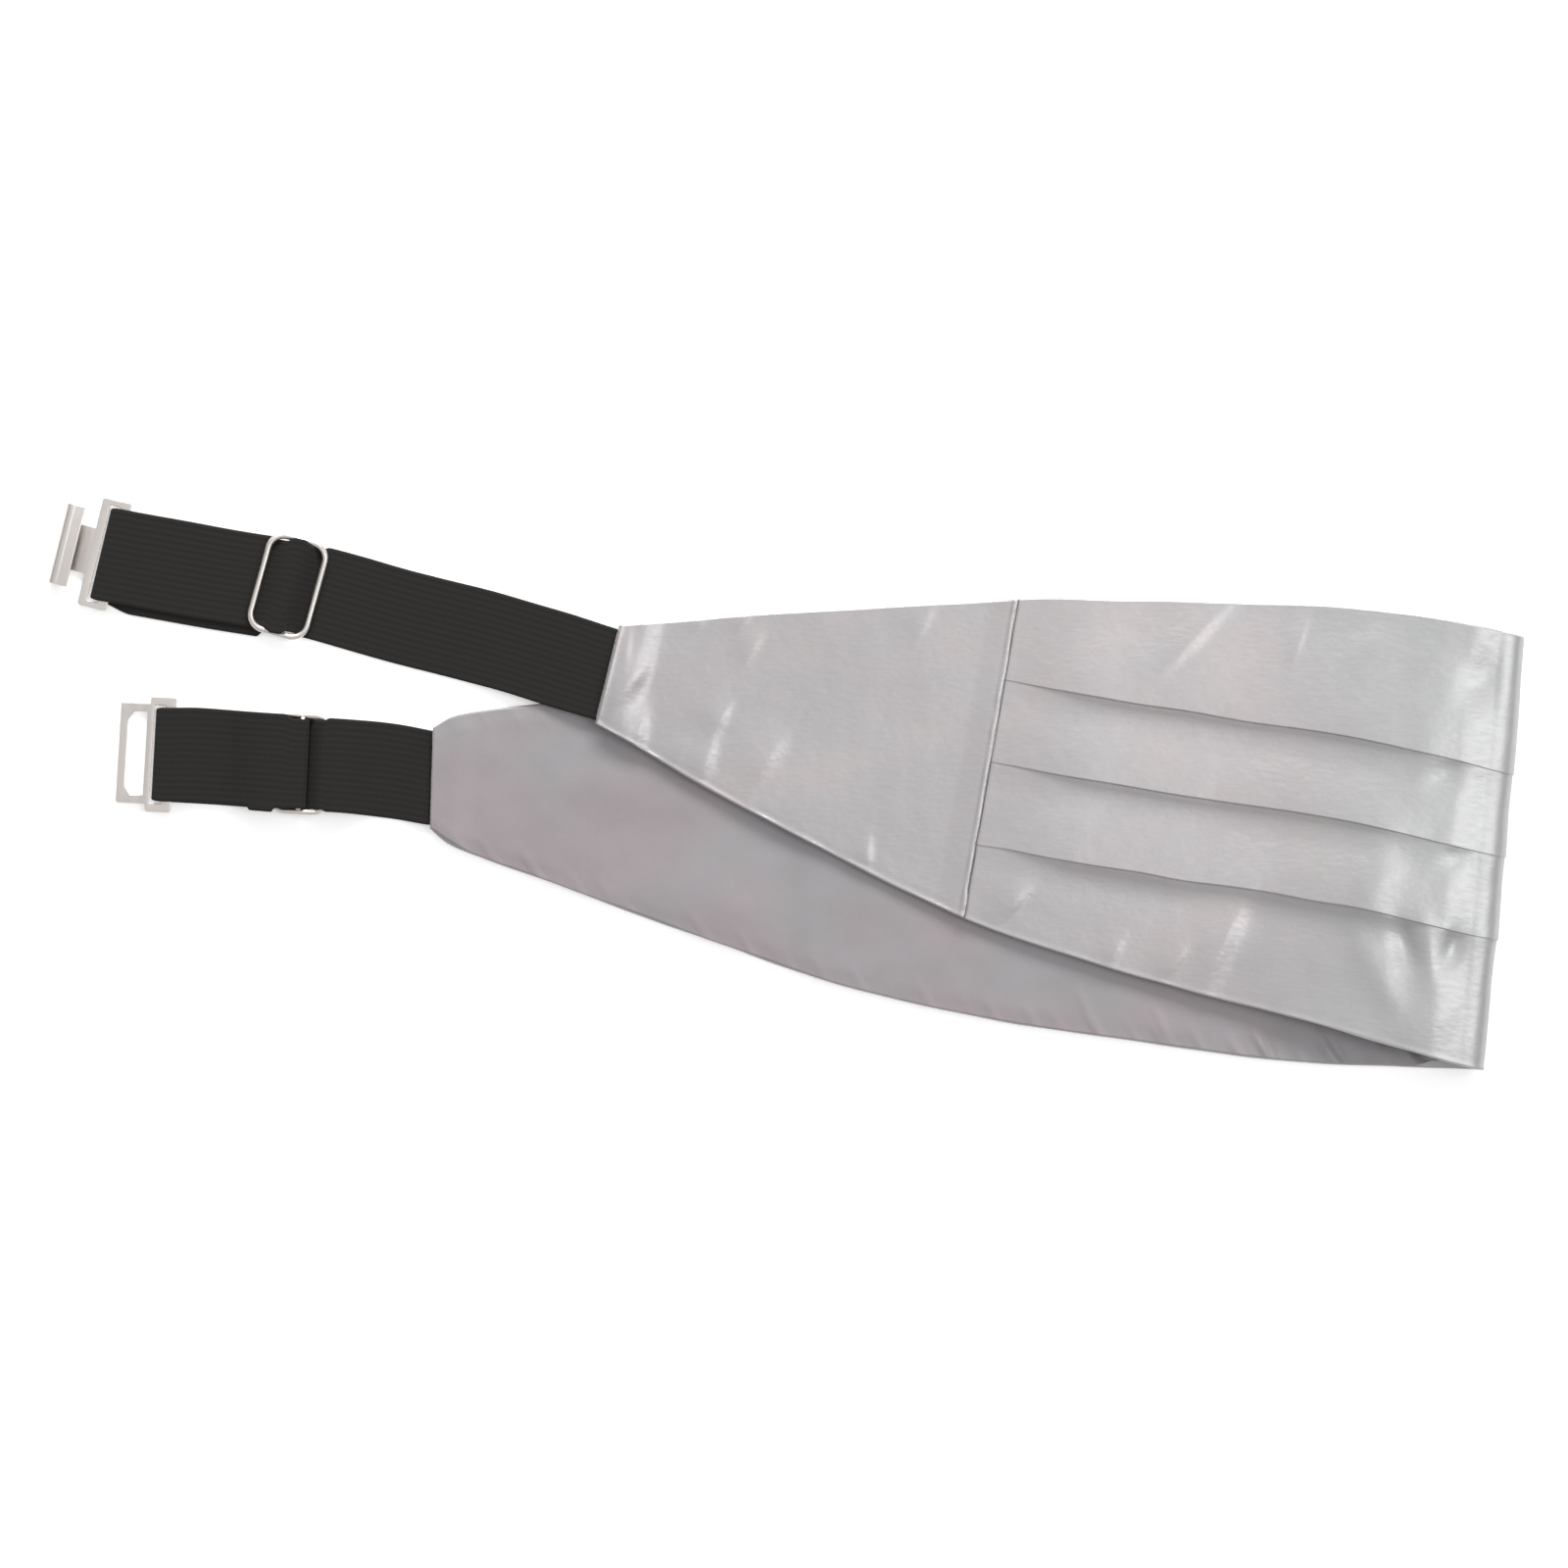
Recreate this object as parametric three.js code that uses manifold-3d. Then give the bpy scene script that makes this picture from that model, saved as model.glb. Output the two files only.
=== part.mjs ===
// A man's satin cummerbund, folded once and lying flat.
// The half on top lies outside up and ends in a hook, the half below lies inside up and ends in an eye.
// Millimetres, +Z up, the fold towards +X, the upper edges of the cloth towards +Y.
import * as THREE from 'three';
import { mergeVertices } from 'three/addons/utils/BufferGeometryUtils.js';
import Module from 'manifold-3d';

const manifold = await Module();
manifold.setup();

// Cloth body, as it is cut
const foldHeight = 138; // height of the sash at its middle
const frontPanelLength = 380; // pleated panel, from seam to seam
const sidePanelLength = 125; // plain panel, from its seam to the elastic
const foldShift = 25.6; // from the middle of the front panel to the fold, towards the hook side
const endMargin = 1.2; // cloth beyond the elastic at each edge where the elastic goes in
const satinThickness = 1.2; // satin with its interlining
const liningThickness = 1.0;
const liningInset = 0.8; // the lining stops short of the satin's edges
const layerGap = 0.3; // clearance between neighbouring pieces

// Pleats of the front panel
const pleatCount = 3;
const pleatPitch = 26.5; // between neighbouring fold edges
const pleatCentre = 0.51; // place of the middle fold edge, as a share of the height
const pleatStep = 1.6; // how far a fold edge stands proud on top
const pressedStep = 0.9; // the same on the half that lies on its pleats
const seamStep = 0.4; // the same where the seam flattens it
const pleatOpening = 60; // length from the seam over which the pleats open
const mouthDepth = 3; // depth of the open mouth behind a fold edge
const seamFade = 10; // length over which the seam's bulk dies out in the side panel
const seamRidge = 0.5; // rise of the side panel's rolled edge
const ridgeWidth = 1.6;

// Fold
const loopDepth = 6.5; // from the fold line to where the round end of the loop begins
const loopRise = 9; // how far the loop lifts the top half
const loopReach = 95; // from the fold line to where the halves lie on each other

// Elastic
const elasticWidth = 30;
const elasticThickness = 1.0;
const hookStrapLength = 166; // from the satin to the fold round the clasp's bar
const eyeStrapLength = 88.8;
const tuckLength = 7; // elastic sewn in between satin and lining
const pocketLength = 8; // length over which satin and lining part to take the elastic
const strapOverBody = 24; // stretch of the hook side's elastic that lies over the half below
const strapDrop = 24; // stretch over which it comes down from there
const hookStrapBearing = 13.5; // degrees from -X towards +Y
const eyeStrapBearing = 4.95;
const satinLip = 1.5; // stretch beside the satin's end where an elastic stays level
const raisedReach = 1.3; // stretch beyond the slider's bars where the elastic below stays raised
const raisedRamp = 15.5; // stretch over which it comes down from there

// Slider
const wireRadius = 1.0;
const sliderOverhang = 1.35; // wire beyond the elastic's edge
const sliderWidth = 20.5; // along the elastic
const sliderCorner = 5; // radius of the wire's middle line
const hookSliderFromEnd = 60.6; // from the fold round the clasp's bar to the centre bar
const eyeSliderFromEnd = 47;
const hookSliderTurn = 4.5; // degrees, how far it sits askew
const humpLength = 7.5; // half the length of the elastic's hump over the centre bar
const humpEase = 0.25; // slack above the centre bar
const squeezeClearance = 0.8; // between the squeezed elastic's edge and the wire
const squeezeEase = 4; // length over which the elastic regains its width

// Clasps
const plateThickness = 1.0;
const slotClearance = 0.6; // between the elastic's edge and the end of the slot
const hookClaspTurn = 2; // degrees against the end of the elastic
const eyeClaspTurn = -0.6;
const hookFrame = { left: 3.3, right: -6.2, arm: 2.0, leftBar: 2.3, wrappedBar: 3.4 };
const eyeFrame = { left: 1.9, right: -6.5, arm: 2.75, leftBar: 0.8, wrappedBar: 3.4 };
const neckWidth = 15;
const hookWidth = 26;
const hookRadius = 2.2; // outside of the rolled hook
const hookReach = 14.1; // from the elastic's end to the outside of the hook
const hookLip = 6.2; // from the outside of the hook to the end of its lip
const lipOpening = 0.7; // height of the lip above the middle of the roll
const bendLead = 0.5; // length before a bend line where a clasp begins to turn
const eyeReach = 11.3; // from the elastic's end to the outside of the eye
const eyeWidth = 32;
const eyeOpeningWidth = 26.6;
const eyeInnerBar = 1.6;
const eyeOuterBar = 2.5;
const eyeChamfer = { along: 1.9, across: 2.6 };

// Height along the body: along is a share of the length from the middle of the front panel to the elastic,
// hook and eye are how much of the taper is left on each side
const heightRows = [
  { along: 0, hook: 1, eye: 1 },
  { along: 0.13, hook: 1, eye: 1 },
  { along: 0.34, hook: 0.898, eye: 0.898 },
  { along: 0.54, hook: 0.74, eye: 0.74 },
  { along: 0.607, hook: 0.665, eye: 0.665 },
  { along: 0.79, hook: 0.375, eye: 0.378 },
  { along: 0.89, hook: 0.203, eye: 0.22 },
  { along: 0.94, hook: 0.108, eye: 0.15 },
  { along: 0.98, hook: 0.036, eye: 0.08 },
  { along: 1, hook: 0, eye: 0 },
];

// How each half lies: along is a share of its length from the fold, bow is the middle line's distance above
// the straight line as a share of the fold height, lean is how far the upper edge lies to the right, degrees
const hookLieRows = [
  { along: 0, bow: 0, lean: 5.45 },
  { along: 0.17, bow: 0.0115, lean: 6.7 },
  { along: 0.39, bow: -0.0084, lean: 8.4 },
  { along: 0.6, bow: -0.0175, lean: 10 },
  { along: 0.8, bow: -0.011, lean: 12 },
  { along: 1, bow: 0, lean: 13.9 },
];
const eyeLieRows = [
  { along: 0, bow: 0, lean: 5.45 },
  { along: 0.1, bow: -0.011, lean: 5.1 },
  { along: 0.32, bow: -0.016, lean: 4.3 },
  { along: 0.5, bow: -0.028, lean: 3.6 },
  { along: 0.65, bow: -0.022, lean: 3 },
  { along: 0.85, bow: -0.014, lean: 2.3 },
  { along: 1, bow: 0, lean: 1.7 },
];

// How each elastic lies: along and side are shares of its length, side is the distance above the straight line
const hookStrapRows = [
  { along: 0, side: 0 },
  { along: 0.22, side: 0.0134 },
  { along: 0.41, side: 0.0165 },
  { along: 0.6, side: 0.023 },
  { along: 0.79, side: 0.0115 },
  { along: 1, side: 0 },
];
const eyeStrapRows = [
  { along: 0, side: 0 },
  { along: 0.14, side: 0.013 },
  { along: 0.31, side: 0.0165 },
  { along: 0.5, side: 0.0105 },
  { along: 0.8, side: 0.006 },
  { along: 1, side: 0 },
];

// Hollows beside the fold on the top half: from the fold and across as shares of the fold height, down from
// the upper edge as a share of the height there, depth as a share of the loop's rise
const dentRows = [
  { fromFold: 0.24, down: 0.77, along: 0.07, across: 0.16, depth: 0.14 },
  { fromFold: 0.1, down: 0.75, along: 0.06, across: 0.14, depth: 0.12 },
  { fromFold: 0.1, down: 0.1, along: 0.07, across: 0.14, depth: 0.1 },
];

const hookHalf = {
  side: 'hook',
  pressed: 0,
  bearing: 11.3, // degrees from -X towards +Y
  length: frontPanelLength / 2 - foldShift + sidePanelLength,
  seam: frontPanelLength / 2 - foldShift,
  middle: -foldShift,
  rows: hookLieRows,
};
const eyeHalf = {
  side: 'eye',
  pressed: 1,
  bearing: 4,
  length: frontPanelLength / 2 + foldShift + sidePanelLength,
  seam: frontPanelLength / 2 + foldShift,
  middle: foldShift,
  rows: eyeLieRows,
};

const halfGap = layerGap / 2;
const layerPitch = elasticThickness + layerGap;
const endHeight = elasticWidth + 2 * endMargin;

const mix = (a, b, share) => a + (b - a) * share;
const smooth = (value) => {
  const share = THREE.MathUtils.clamp(value, 0, 1);
  return share * share * (3 - 2 * share);
};
const radians = THREE.MathUtils.degToRad;
const range = (count) => Array.from({ length: count + 1 }, (_, index) => index / count);

// One column of a table as a smooth curve through its rows, read at a value of the column named key
function readTable(rows, key, at, column) {
  const last = rows.length - 1;
  let row = 0;
  while (row < last - 1 && at > rows[row + 1][key]) row += 1;
  const slope = (index) => {
    const before = rows[Math.max(index - 1, 0)];
    const after = rows[Math.min(index + 1, last)];
    return (after[column] - before[column]) / (after[key] - before[key]);
  };
  const span = rows[row + 1][key] - rows[row][key];
  const t = THREE.MathUtils.clamp((at - rows[row][key]) / span, 0, 1);
  const startWeight = (1 + 2 * t) * (1 - t) ** 2;
  const startSlopeWeight = t * (1 - t) ** 2;
  const endSlopeWeight = t * t * (t - 1);
  return startWeight * rows[row][column] + (1 - startWeight) * rows[row + 1][column]
    + span * (startSlopeWeight * slope(row) + endSlopeWeight * slope(row + 1));
}

// Height of the sash at a distance from the fold
function bodyHeight(half, fromFold) {
  const along = Math.abs(fromFold - half.middle) / (frontPanelLength / 2 + sidePanelLength);
  return mix(endHeight, foldHeight, readTable(heightRows, 'along', Math.min(along, 1), half.side));
}

// Where a cross line of the body lies in plan: its middle, the direction to the upper edge and away from the fold
function bodyPlan(half, fromFold) {
  const along = fromFold / half.length;
  const bearing = radians(half.bearing);
  const bow = readTable(half.rows, 'along', along, 'bow') * foldHeight;
  const lean = radians(readTable(half.rows, 'along', along, 'lean'));
  return {
    middle: new THREE.Vector3(
      -Math.cos(bearing) * fromFold + Math.sin(bearing) * bow,
      Math.sin(bearing) * fromFold + Math.cos(bearing) * bow,
      0,
    ),
    up: new THREE.Vector3(Math.sin(lean), Math.cos(lean), 0),
    away: new THREE.Vector3(-Math.cos(lean), Math.sin(lean), 0),
  };
}

// How far the pleats stand proud: flat at the seam, open in the panel, dying out in the side panel
function stepAt(half, fromFold, full) {
  const inside = half.seam - fromFold;
  if (inside < 0) return seamStep * (1 - smooth(-inside / seamFade));
  return mix(seamStep, full, smooth(inside / pleatOpening));
}

// How far satin and lining part for the end of the elastic
function pocketAt(half, fromFold) {
  const start = half.length - tuckLength - pocketLength;
  return layerPitch * smooth((fromFold - start) / pocketLength);
}

// Height of the middle line between satin and lining, above the surface that the sash lies on
function lowerLevel(fromFold) {
  return satinThickness + halfGap + stepAt(eyeHalf, fromFold, pressedStep);
}
function upperLevel(fromFold) {
  const stack = satinThickness + pressedStep + 2 * liningThickness + 4 * halfGap + layerGap;
  const lift = loopRise * (1 - smooth((fromFold - loopDepth) / (loopReach - loopDepth)));
  return stack + pocketAt(hookHalf, fromFold) + lift;
}

// A station is one cross line of the body: its half, its distance from the fold, its level, the outward
// normal away from the fold and upwards, and how far the pleats stand proud there
function flatStation(half, fromFold) {
  const onTop = half === hookHalf;
  const level = onTop ? upperLevel : lowerLevel;
  const probe = 0.5;
  const slope = (level(fromFold + probe) - level(fromFold - probe)) / (2 * probe);
  const length = Math.hypot(1, slope);
  const side = onTop ? 1 : -1;
  return {
    half,
    fromFold,
    level: level(fromFold),
    normal: { away: -side * slope / length, up: side / length },
    step: stepAt(half, fromFold, onTop ? pleatStep : pressedStep),
    pressed: half.pressed,
  };
}

// The round end of the loop is half an ellipse from the lower level to the upper one
function loopStation(share) {
  const angle = Math.PI * (share - 0.5);
  const bottom = lowerLevel(loopDepth);
  const top = upperLevel(loopDepth);
  const radius = (top - bottom) / 2;
  const away = -Math.cos(angle) / loopDepth;
  const up = Math.sin(angle) / radius;
  const length = Math.hypot(away, up);
  return {
    half: share > 0.5 ? hookHalf : eyeHalf,
    fromFold: loopDepth * (1 - Math.cos(angle)),
    level: (top + bottom) / 2 + radius * Math.sin(angle),
    normal: { away: away / length, up: up / length },
    step: mix(pressedStep, pleatStep, share),
    pressed: 1 - smooth(2 * share),
  };
}

// Stations between two distances from the fold, closer together near the first
function stationsBetween(half, from, to, count, crowding = 1) {
  return range(count).map((share) => flatStation(half, mix(from, to, share ** crowding)));
}

// Depth of the hollows beside the fold
function dentAt(station, down) {
  if (station.pressed === 1) return 0;
  const height = bodyHeight(station.half, station.fromFold);
  return dentRows.reduce((sum, dent) => {
    const along = (station.fromFold / foldHeight - dent.fromFold) / dent.along;
    const across = (down - dent.down * height) / (dent.across * foldHeight);
    return sum + dent.depth * loopRise * Math.exp(-(along ** 2) - across ** 2);
  }, 0) * (1 - station.pressed);
}

// A point of the body: down from the upper edge, out from the middle line between satin and lining
function bodyPoint(station, down, out) {
  const plan = bodyPlan(station.half, station.fromFold);
  const height = bodyHeight(station.half, station.fromFold);
  const offset = out - dentAt(station, down);
  return plan.middle.clone()
    .addScaledVector(plan.up, height / 2 - down)
    .addScaledVector(plan.away, station.normal.away * offset)
    .add(new THREE.Vector3(0, 0, station.level + station.normal.up * offset));
}

// A closed mesh from rings of equally many points, turned so that its faces point out
function skin(rings, outlines) {
  const count = rings[0].length;
  const positions = rings.flat().flatMap((point) => point.toArray());
  const faces = [];
  for (let row = 0; row + 1 < rings.length + (outlines ? 0 : 1); row += 1) {
    const here = row * count;
    const next = ((row + 1) % rings.length) * count;
    for (let i = 0; i < count; i += 1) {
      const j = (i + 1) % count;
      faces.push(here + i, next + i, next + j, here + i, next + j, here + j);
    }
  }
  if (outlines) {
    const close = (outline, start, flip) => {
      for (const [a, b, c] of THREE.ShapeUtils.triangulateShape(outline, [])) {
        faces.push(...(flip ? [start + a, start + b, start + c] : [start + a, start + c, start + b]));
      }
    };
    const clockwise = THREE.ShapeUtils.isClockWise(outlines.first);
    close(outlines.first, 0, !clockwise);
    close(outlines.last, (rings.length - 1) * count, clockwise);
  }
  const geometry = new THREE.BufferGeometry();
  geometry.setAttribute('position', new THREE.Float32BufferAttribute(positions, 3));
  geometry.setIndex(faces);
  if (signedVolume(geometry) < 0) faces.reverse();
  geometry.setIndex(faces);
  return geometry;
}

function signedVolume(geometry) {
  const position = geometry.getAttribute('position');
  const index = geometry.getIndex();
  const corner = [new THREE.Vector3(), new THREE.Vector3(), new THREE.Vector3()];
  let volume = 0;
  for (let i = 0; i < index.count; i += 3) {
    corner.forEach((point, k) => point.fromBufferAttribute(position, index.getX(i + k)));
    volume += corner[0].dot(corner[1].cross(corner[2])) / 6;
  }
  return volume;
}

// A layer of the body: section gives the closed outline of a station as points down and out
function clothLayer(stations, section) {
  const outlines = stations.map(section);
  const rings = stations.map((station, index) => (
    outlines[index].map((point) => bodyPoint(station, point.x, point.y))
  ));
  return skin(rings, { first: outlines[0], last: outlines.at(-1) });
}

// Outline of the pleated panel: each tier rises from the mouth behind the fold edge above it to its own
// fold edge, and on the pressed half it lies flat
function pleatedSection(station) {
  const height = bodyHeight(station.half, station.fromFold);
  const { step, pressed } = station;
  const inner = halfGap;
  const base = inner + satinThickness;
  const rise = (share) => base + step * mix(share, 1, pressed);
  const middle = (pleatCount + 1) / 2;
  const edges = Array.from({ length: pleatCount }, (_, index) => (
    pleatCentre * height + (index + 1 - middle) * pleatPitch
  ));
  const points = [new THREE.Vector2(0, rise(0))];
  let start = 0;
  for (const edge of edges) {
    for (const share of [0.35, 0.7]) {
      points.push(new THREE.Vector2(mix(start, edge, share), rise(share)));
    }
    points.push(new THREE.Vector2(edge, base + step));
    points.push(new THREE.Vector2(edge, base + step / 2));
    start = edge - mouthDepth;
    points.push(new THREE.Vector2(start, base));
  }
  for (const share of [0.35, 0.7]) {
    points.push(new THREE.Vector2(mix(start, height, share), rise(share / 2)));
  }
  points.push(new THREE.Vector2(height, rise(0.3)));
  const innerCount = 6;
  for (const share of range(innerCount)) {
    points.push(new THREE.Vector2(mix(height, 0, share), inner));
  }
  return points;
}

// Outline of a plain side panel, with its rolled edge beside the seam
function sideSection(station) {
  const height = bodyHeight(station.half, station.fromFold);
  const beside = (station.fromFold - station.half.seam - halfGap) / ridgeWidth;
  const ridge = beside < 1 ? seamRidge * Math.sin(Math.PI * (0.2 + 0.8 * Math.max(beside, 0))) : 0;
  const outer = halfGap + satinThickness + station.step + ridge * (1 - station.pressed);
  return plainOutline(0, height, halfGap, outer);
}

function liningSection(station) {
  const height = bodyHeight(station.half, station.fromFold);
  const outer = -halfGap - pocketAt(station.half, station.fromFold);
  return plainOutline(liningInset, height - liningInset, outer - liningThickness, outer);
}

function plainOutline(top, bottom, inner, outer) {
  const across = range(6);
  return [
    ...across.map((share) => new THREE.Vector2(mix(top, bottom, share), outer)),
    ...across.map((share) => new THREE.Vector2(mix(bottom, top, share), inner)),
  ];
}

const facets = { hookFront: 15, eyeFront: 14, loop: 10, side: 14 };
const hookFront = stationsBetween(hookHalf, loopDepth, hookHalf.seam - halfGap, facets.hookFront, 1.3);
const eyeFront = stationsBetween(eyeHalf, loopDepth, eyeHalf.seam - halfGap, facets.eyeFront, 1.2);
const loop = range(facets.loop).slice(1, -1).map(loopStation);
const sideStations = (half) => [
  ...stationsBetween(half, half.seam + halfGap, half.seam + halfGap + ridgeWidth, 3),
  ...stationsBetween(half, half.seam + seamFade / 2, half.seam + seamFade, 1),
  ...stationsBetween(half, half.seam + 2 * seamFade, half.length, facets.side),
];
const liningStations = (half, front) => [
  ...front.slice(0, -1),
  ...stationsBetween(half, half.seam, half.seam + seamFade, 2),
  ...stationsBetween(half, half.seam + 2 * seamFade, half.length, facets.side),
];

const frontPanel = clothLayer([...eyeFront.toReversed(), ...loop, ...hookFront], pleatedSection);
const hookSidePanel = clothLayer(sideStations(hookHalf), sideSection);
const eyeSidePanel = clothLayer(sideStations(eyeHalf), sideSection);
const lining = clothLayer([
  ...liningStations(eyeHalf, eyeFront).toReversed(),
  ...loop,
  ...liningStations(hookHalf, hookFront),
], liningSection);

// An elastic starts at the end of its half of the body. Its points are given by their distance from the satin,
// their place across and their level, counted from the inside of the sash to its outside.
// On the hook side the outside is up, on the eye side it is down.
const hookStrap = {
  half: hookHalf,
  outsideUp: true,
  length: hookStrapLength,
  slider: hookStrapLength - hookSliderFromEnd,
  bearing: radians(hookStrapBearing),
  sliderTurn: radians(hookSliderTurn),
  claspTurn: radians(hookClaspTurn),
  rows: hookStrapRows,
};
const eyeStrap = {
  half: eyeHalf,
  outsideUp: false,
  length: eyeStrapLength,
  slider: eyeStrapLength - eyeSliderFromEnd,
  bearing: radians(eyeStrapBearing),
  sliderTurn: 0,
  claspTurn: radians(eyeClaspTurn),
  rows: eyeStrapRows,
};

function strapMiddle(strap, along) {
  const inside = THREE.MathUtils.clamp(along, 0, strap.length);
  const side = readTable(strap.rows, 'along', inside / strap.length, 'side') * strap.length;
  return bodyPlan(strap.half, strap.half.length).middle.add(new THREE.Vector3(
    -Math.cos(strap.bearing) * along + Math.sin(strap.bearing) * side,
    Math.sin(strap.bearing) * along + Math.cos(strap.bearing) * side,
    0,
  ));
}
function strapBearing(strap, along) {
  const probe = 2;
  const step = strapMiddle(strap, along + probe).sub(strapMiddle(strap, along - probe));
  return Math.atan2(step.y, -step.x);
}

// Direction across an elastic: it turns with the slider and with the clasp where it passes round their bars
function strapAcross(strap, along) {
  const atSlider = 1 - smooth((Math.abs(along - strap.slider) - sliderWidth / 2) / sliderWidth);
  const atClasp = smooth((along - strap.length + 1.5 * sliderWidth) / sliderWidth);
  const angle = strapBearing(strap, along) + strap.sliderTurn * atSlider + strap.claspTurn * atClasp;
  return new THREE.Vector3(Math.sin(angle), Math.cos(angle), 0);
}

// Levels of the stack at the slider and at the clasp
const singleLevel = elasticThickness / 2;
const doubleLevel = singleLevel + layerPitch;
const nearBarLevel = layerPitch + wireRadius;
const farBarLevel = 2 * layerPitch + wireRadius;
const centreBarLevel = (nearBarLevel + farBarLevel) / 2;
const wrapRadius = wireRadius + layerGap + elasticThickness / 2;
const humpLevel = centreBarLevel + wrapRadius + layerPitch + humpEase;
const plateLevel = layerPitch + plateThickness / 2;
const overPlateLevel = layerPitch + plateThickness + layerGap + elasticThickness / 2;
const turnRadius = (overPlateLevel - singleLevel) / 2;
const turnCentre = turnRadius + elasticThickness / 2; // before the end of the elastic
const barSpacing = sliderWidth - 2 * wireRadius;

// Level of the outer layer without its hump: single before the slider, over the return after it
function plainLevel(strap, along) {
  const fromSlider = along - strap.slider;
  const doubled = mix(singleLevel, doubleLevel, smooth(fromSlider / humpLength + 0.5));
  const rise = smooth((along - strap.length + 2 * humpLength) / humpLength);
  return mix(doubled, overPlateLevel, rise);
}
function outerLevel(strap, along) {
  const fromSlider = (along - strap.slider) / humpLength;
  const hump = Math.abs(fromSlider) < 1 ? (1 + Math.cos(Math.PI * fromSlider)) / 2 : 0;
  return mix(plainLevel(strap, along), humpLevel, hump);
}
function returnLevel(strap, along) {
  const fromSlider = along - strap.slider;
  return mix(centreBarLevel - wrapRadius, singleLevel, smooth(fromSlider / humpLength));
}

// Height of level zero above the surface
function strapLift(strap, along) {
  if (strap.outsideUp) {
    const onBody = lowerLevel(hookHalf.length) + halfGap + liningThickness + layerGap;
    const atSatin = upperLevel(strap.half.length) - halfGap - elasticThickness;
    const lowering = smooth((along - satinLip) / strapOverBody);
    return mix(atSatin, onBody, lowering) * (1 - smooth((along - strapOverBody) / strapDrop));
  }
  const reach = barSpacing / 2 + raisedReach;
  const atSlider = 1 - smooth((Math.abs(along - strap.slider) - reach) / raisedRamp);
  const onSurface = mix(plainLevel(strap, along), humpLevel, atSlider) + elasticThickness / 2;
  return onSurface + (satinThickness + layerGap) * (1 - smooth((along - satinLip) / humpLength));
}
function strapHeight(strap, along, level) {
  return strapLift(strap, along) + (strap.outsideUp ? level : -level);
}

// The elastic is squeezed to pass between the sides of the slider
function strapWidth(strap, along) {
  const squeezed = elasticWidth + 2 * (sliderOverhang - 2 * wireRadius - squeezeClearance);
  const near = 1 - smooth((Math.abs(along - strap.slider) - barSpacing / 2) / squeezeEase);
  return mix(elasticWidth, Math.min(squeezed, elasticWidth), near);
}

// The route of an elastic: in from the satin, over the centre bar, round the clasp's bar and back to the
// centre bar, which its end is sewn round
function strapRoute(strap) {
  const outward = [];
  const last = strap.length - turnCentre;
  const fine = 1.25;
  for (let along = -tuckLength; along < last; along += nearDetail(strap, along) ? fine : 4 * fine) {
    outward.push({ along, level: outerLevel(strap, along) });
  }
  const turn = range(8).map((share) => ({
    along: last + turnRadius * Math.sin(Math.PI * share),
    level: singleLevel + turnRadius * (1 + Math.cos(Math.PI * share)),
  }));
  const back = [];
  for (let along = last - 4 * fine; along > strap.slider + fine; along -= 4 * fine) {
    back.push({ along, level: returnLevel(strap, along) });
  }
  const wrap = range(10).map((share) => ({
    along: strap.slider - wrapRadius * Math.sin(1.5 * Math.PI * share),
    level: centreBarLevel - wrapRadius * Math.cos(1.5 * Math.PI * share),
  }));
  const nearest = outward.at(-1).along > last - fine / 2 ? outward.slice(0, -1) : outward;
  return [...nearest, ...turn, ...back, ...wrap];
}
function nearDetail(strap, along) {
  const fromSlider = Math.abs(along - strap.slider);
  return fromSlider < 2 * humpLength || along > strap.length - 3 * humpLength;
}

function makeElastic(strap) {
  const route = strapRoute(strap).map(({ along, level }) => ({
    along,
    height: strapHeight(strap, along, level),
  }));
  const rings = route.map((here, index) => {
    const before = route[Math.max(index - 1, 0)];
    const after = route[Math.min(index + 1, route.length - 1)];
    const run = after.along - before.along;
    const rise = after.height - before.height;
    const length = Math.hypot(run, rise);
    const half = elasticThickness / 2;
    const width = strapWidth(strap, here.along);
    const across = strapAcross(strap, here.along);
    return [[1, 1], [-1, 1], [-1, -1], [1, -1]].map(([side, face]) => (
      strapMiddle(strap, here.along - face * half * rise / length)
        .addScaledVector(across, side * width / 2)
        .add(new THREE.Vector3(0, 0, here.height + face * half * run / length))
    ));
  });
  const end = [[1, 1], [-1, 1], [-1, -1], [1, -1]].map(([x, y]) => new THREE.Vector2(x, y));
  return skin(rings, { first: end, last: end });
}

// Joins and cuts of closed meshes
function toSolid(geometry) {
  const bare = geometry.clone();
  bare.deleteAttribute('normal');
  bare.deleteAttribute('uv');
  const merged = mergeVertices(bare, 1e-4);
  return new manifold.Manifold(new manifold.Mesh({
    numProp: 3,
    vertProperties: new Float32Array(merged.getAttribute('position').array),
    triVerts: new Uint32Array(merged.getIndex().array),
  }));
}
function toGeometry(solid) {
  const mesh = solid.getMesh();
  const geometry = new THREE.BufferGeometry();
  geometry.setAttribute('position', new THREE.BufferAttribute(mesh.vertProperties, 3));
  geometry.setIndex(new THREE.BufferAttribute(mesh.triVerts, 1));
  return geometry;
}

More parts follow.
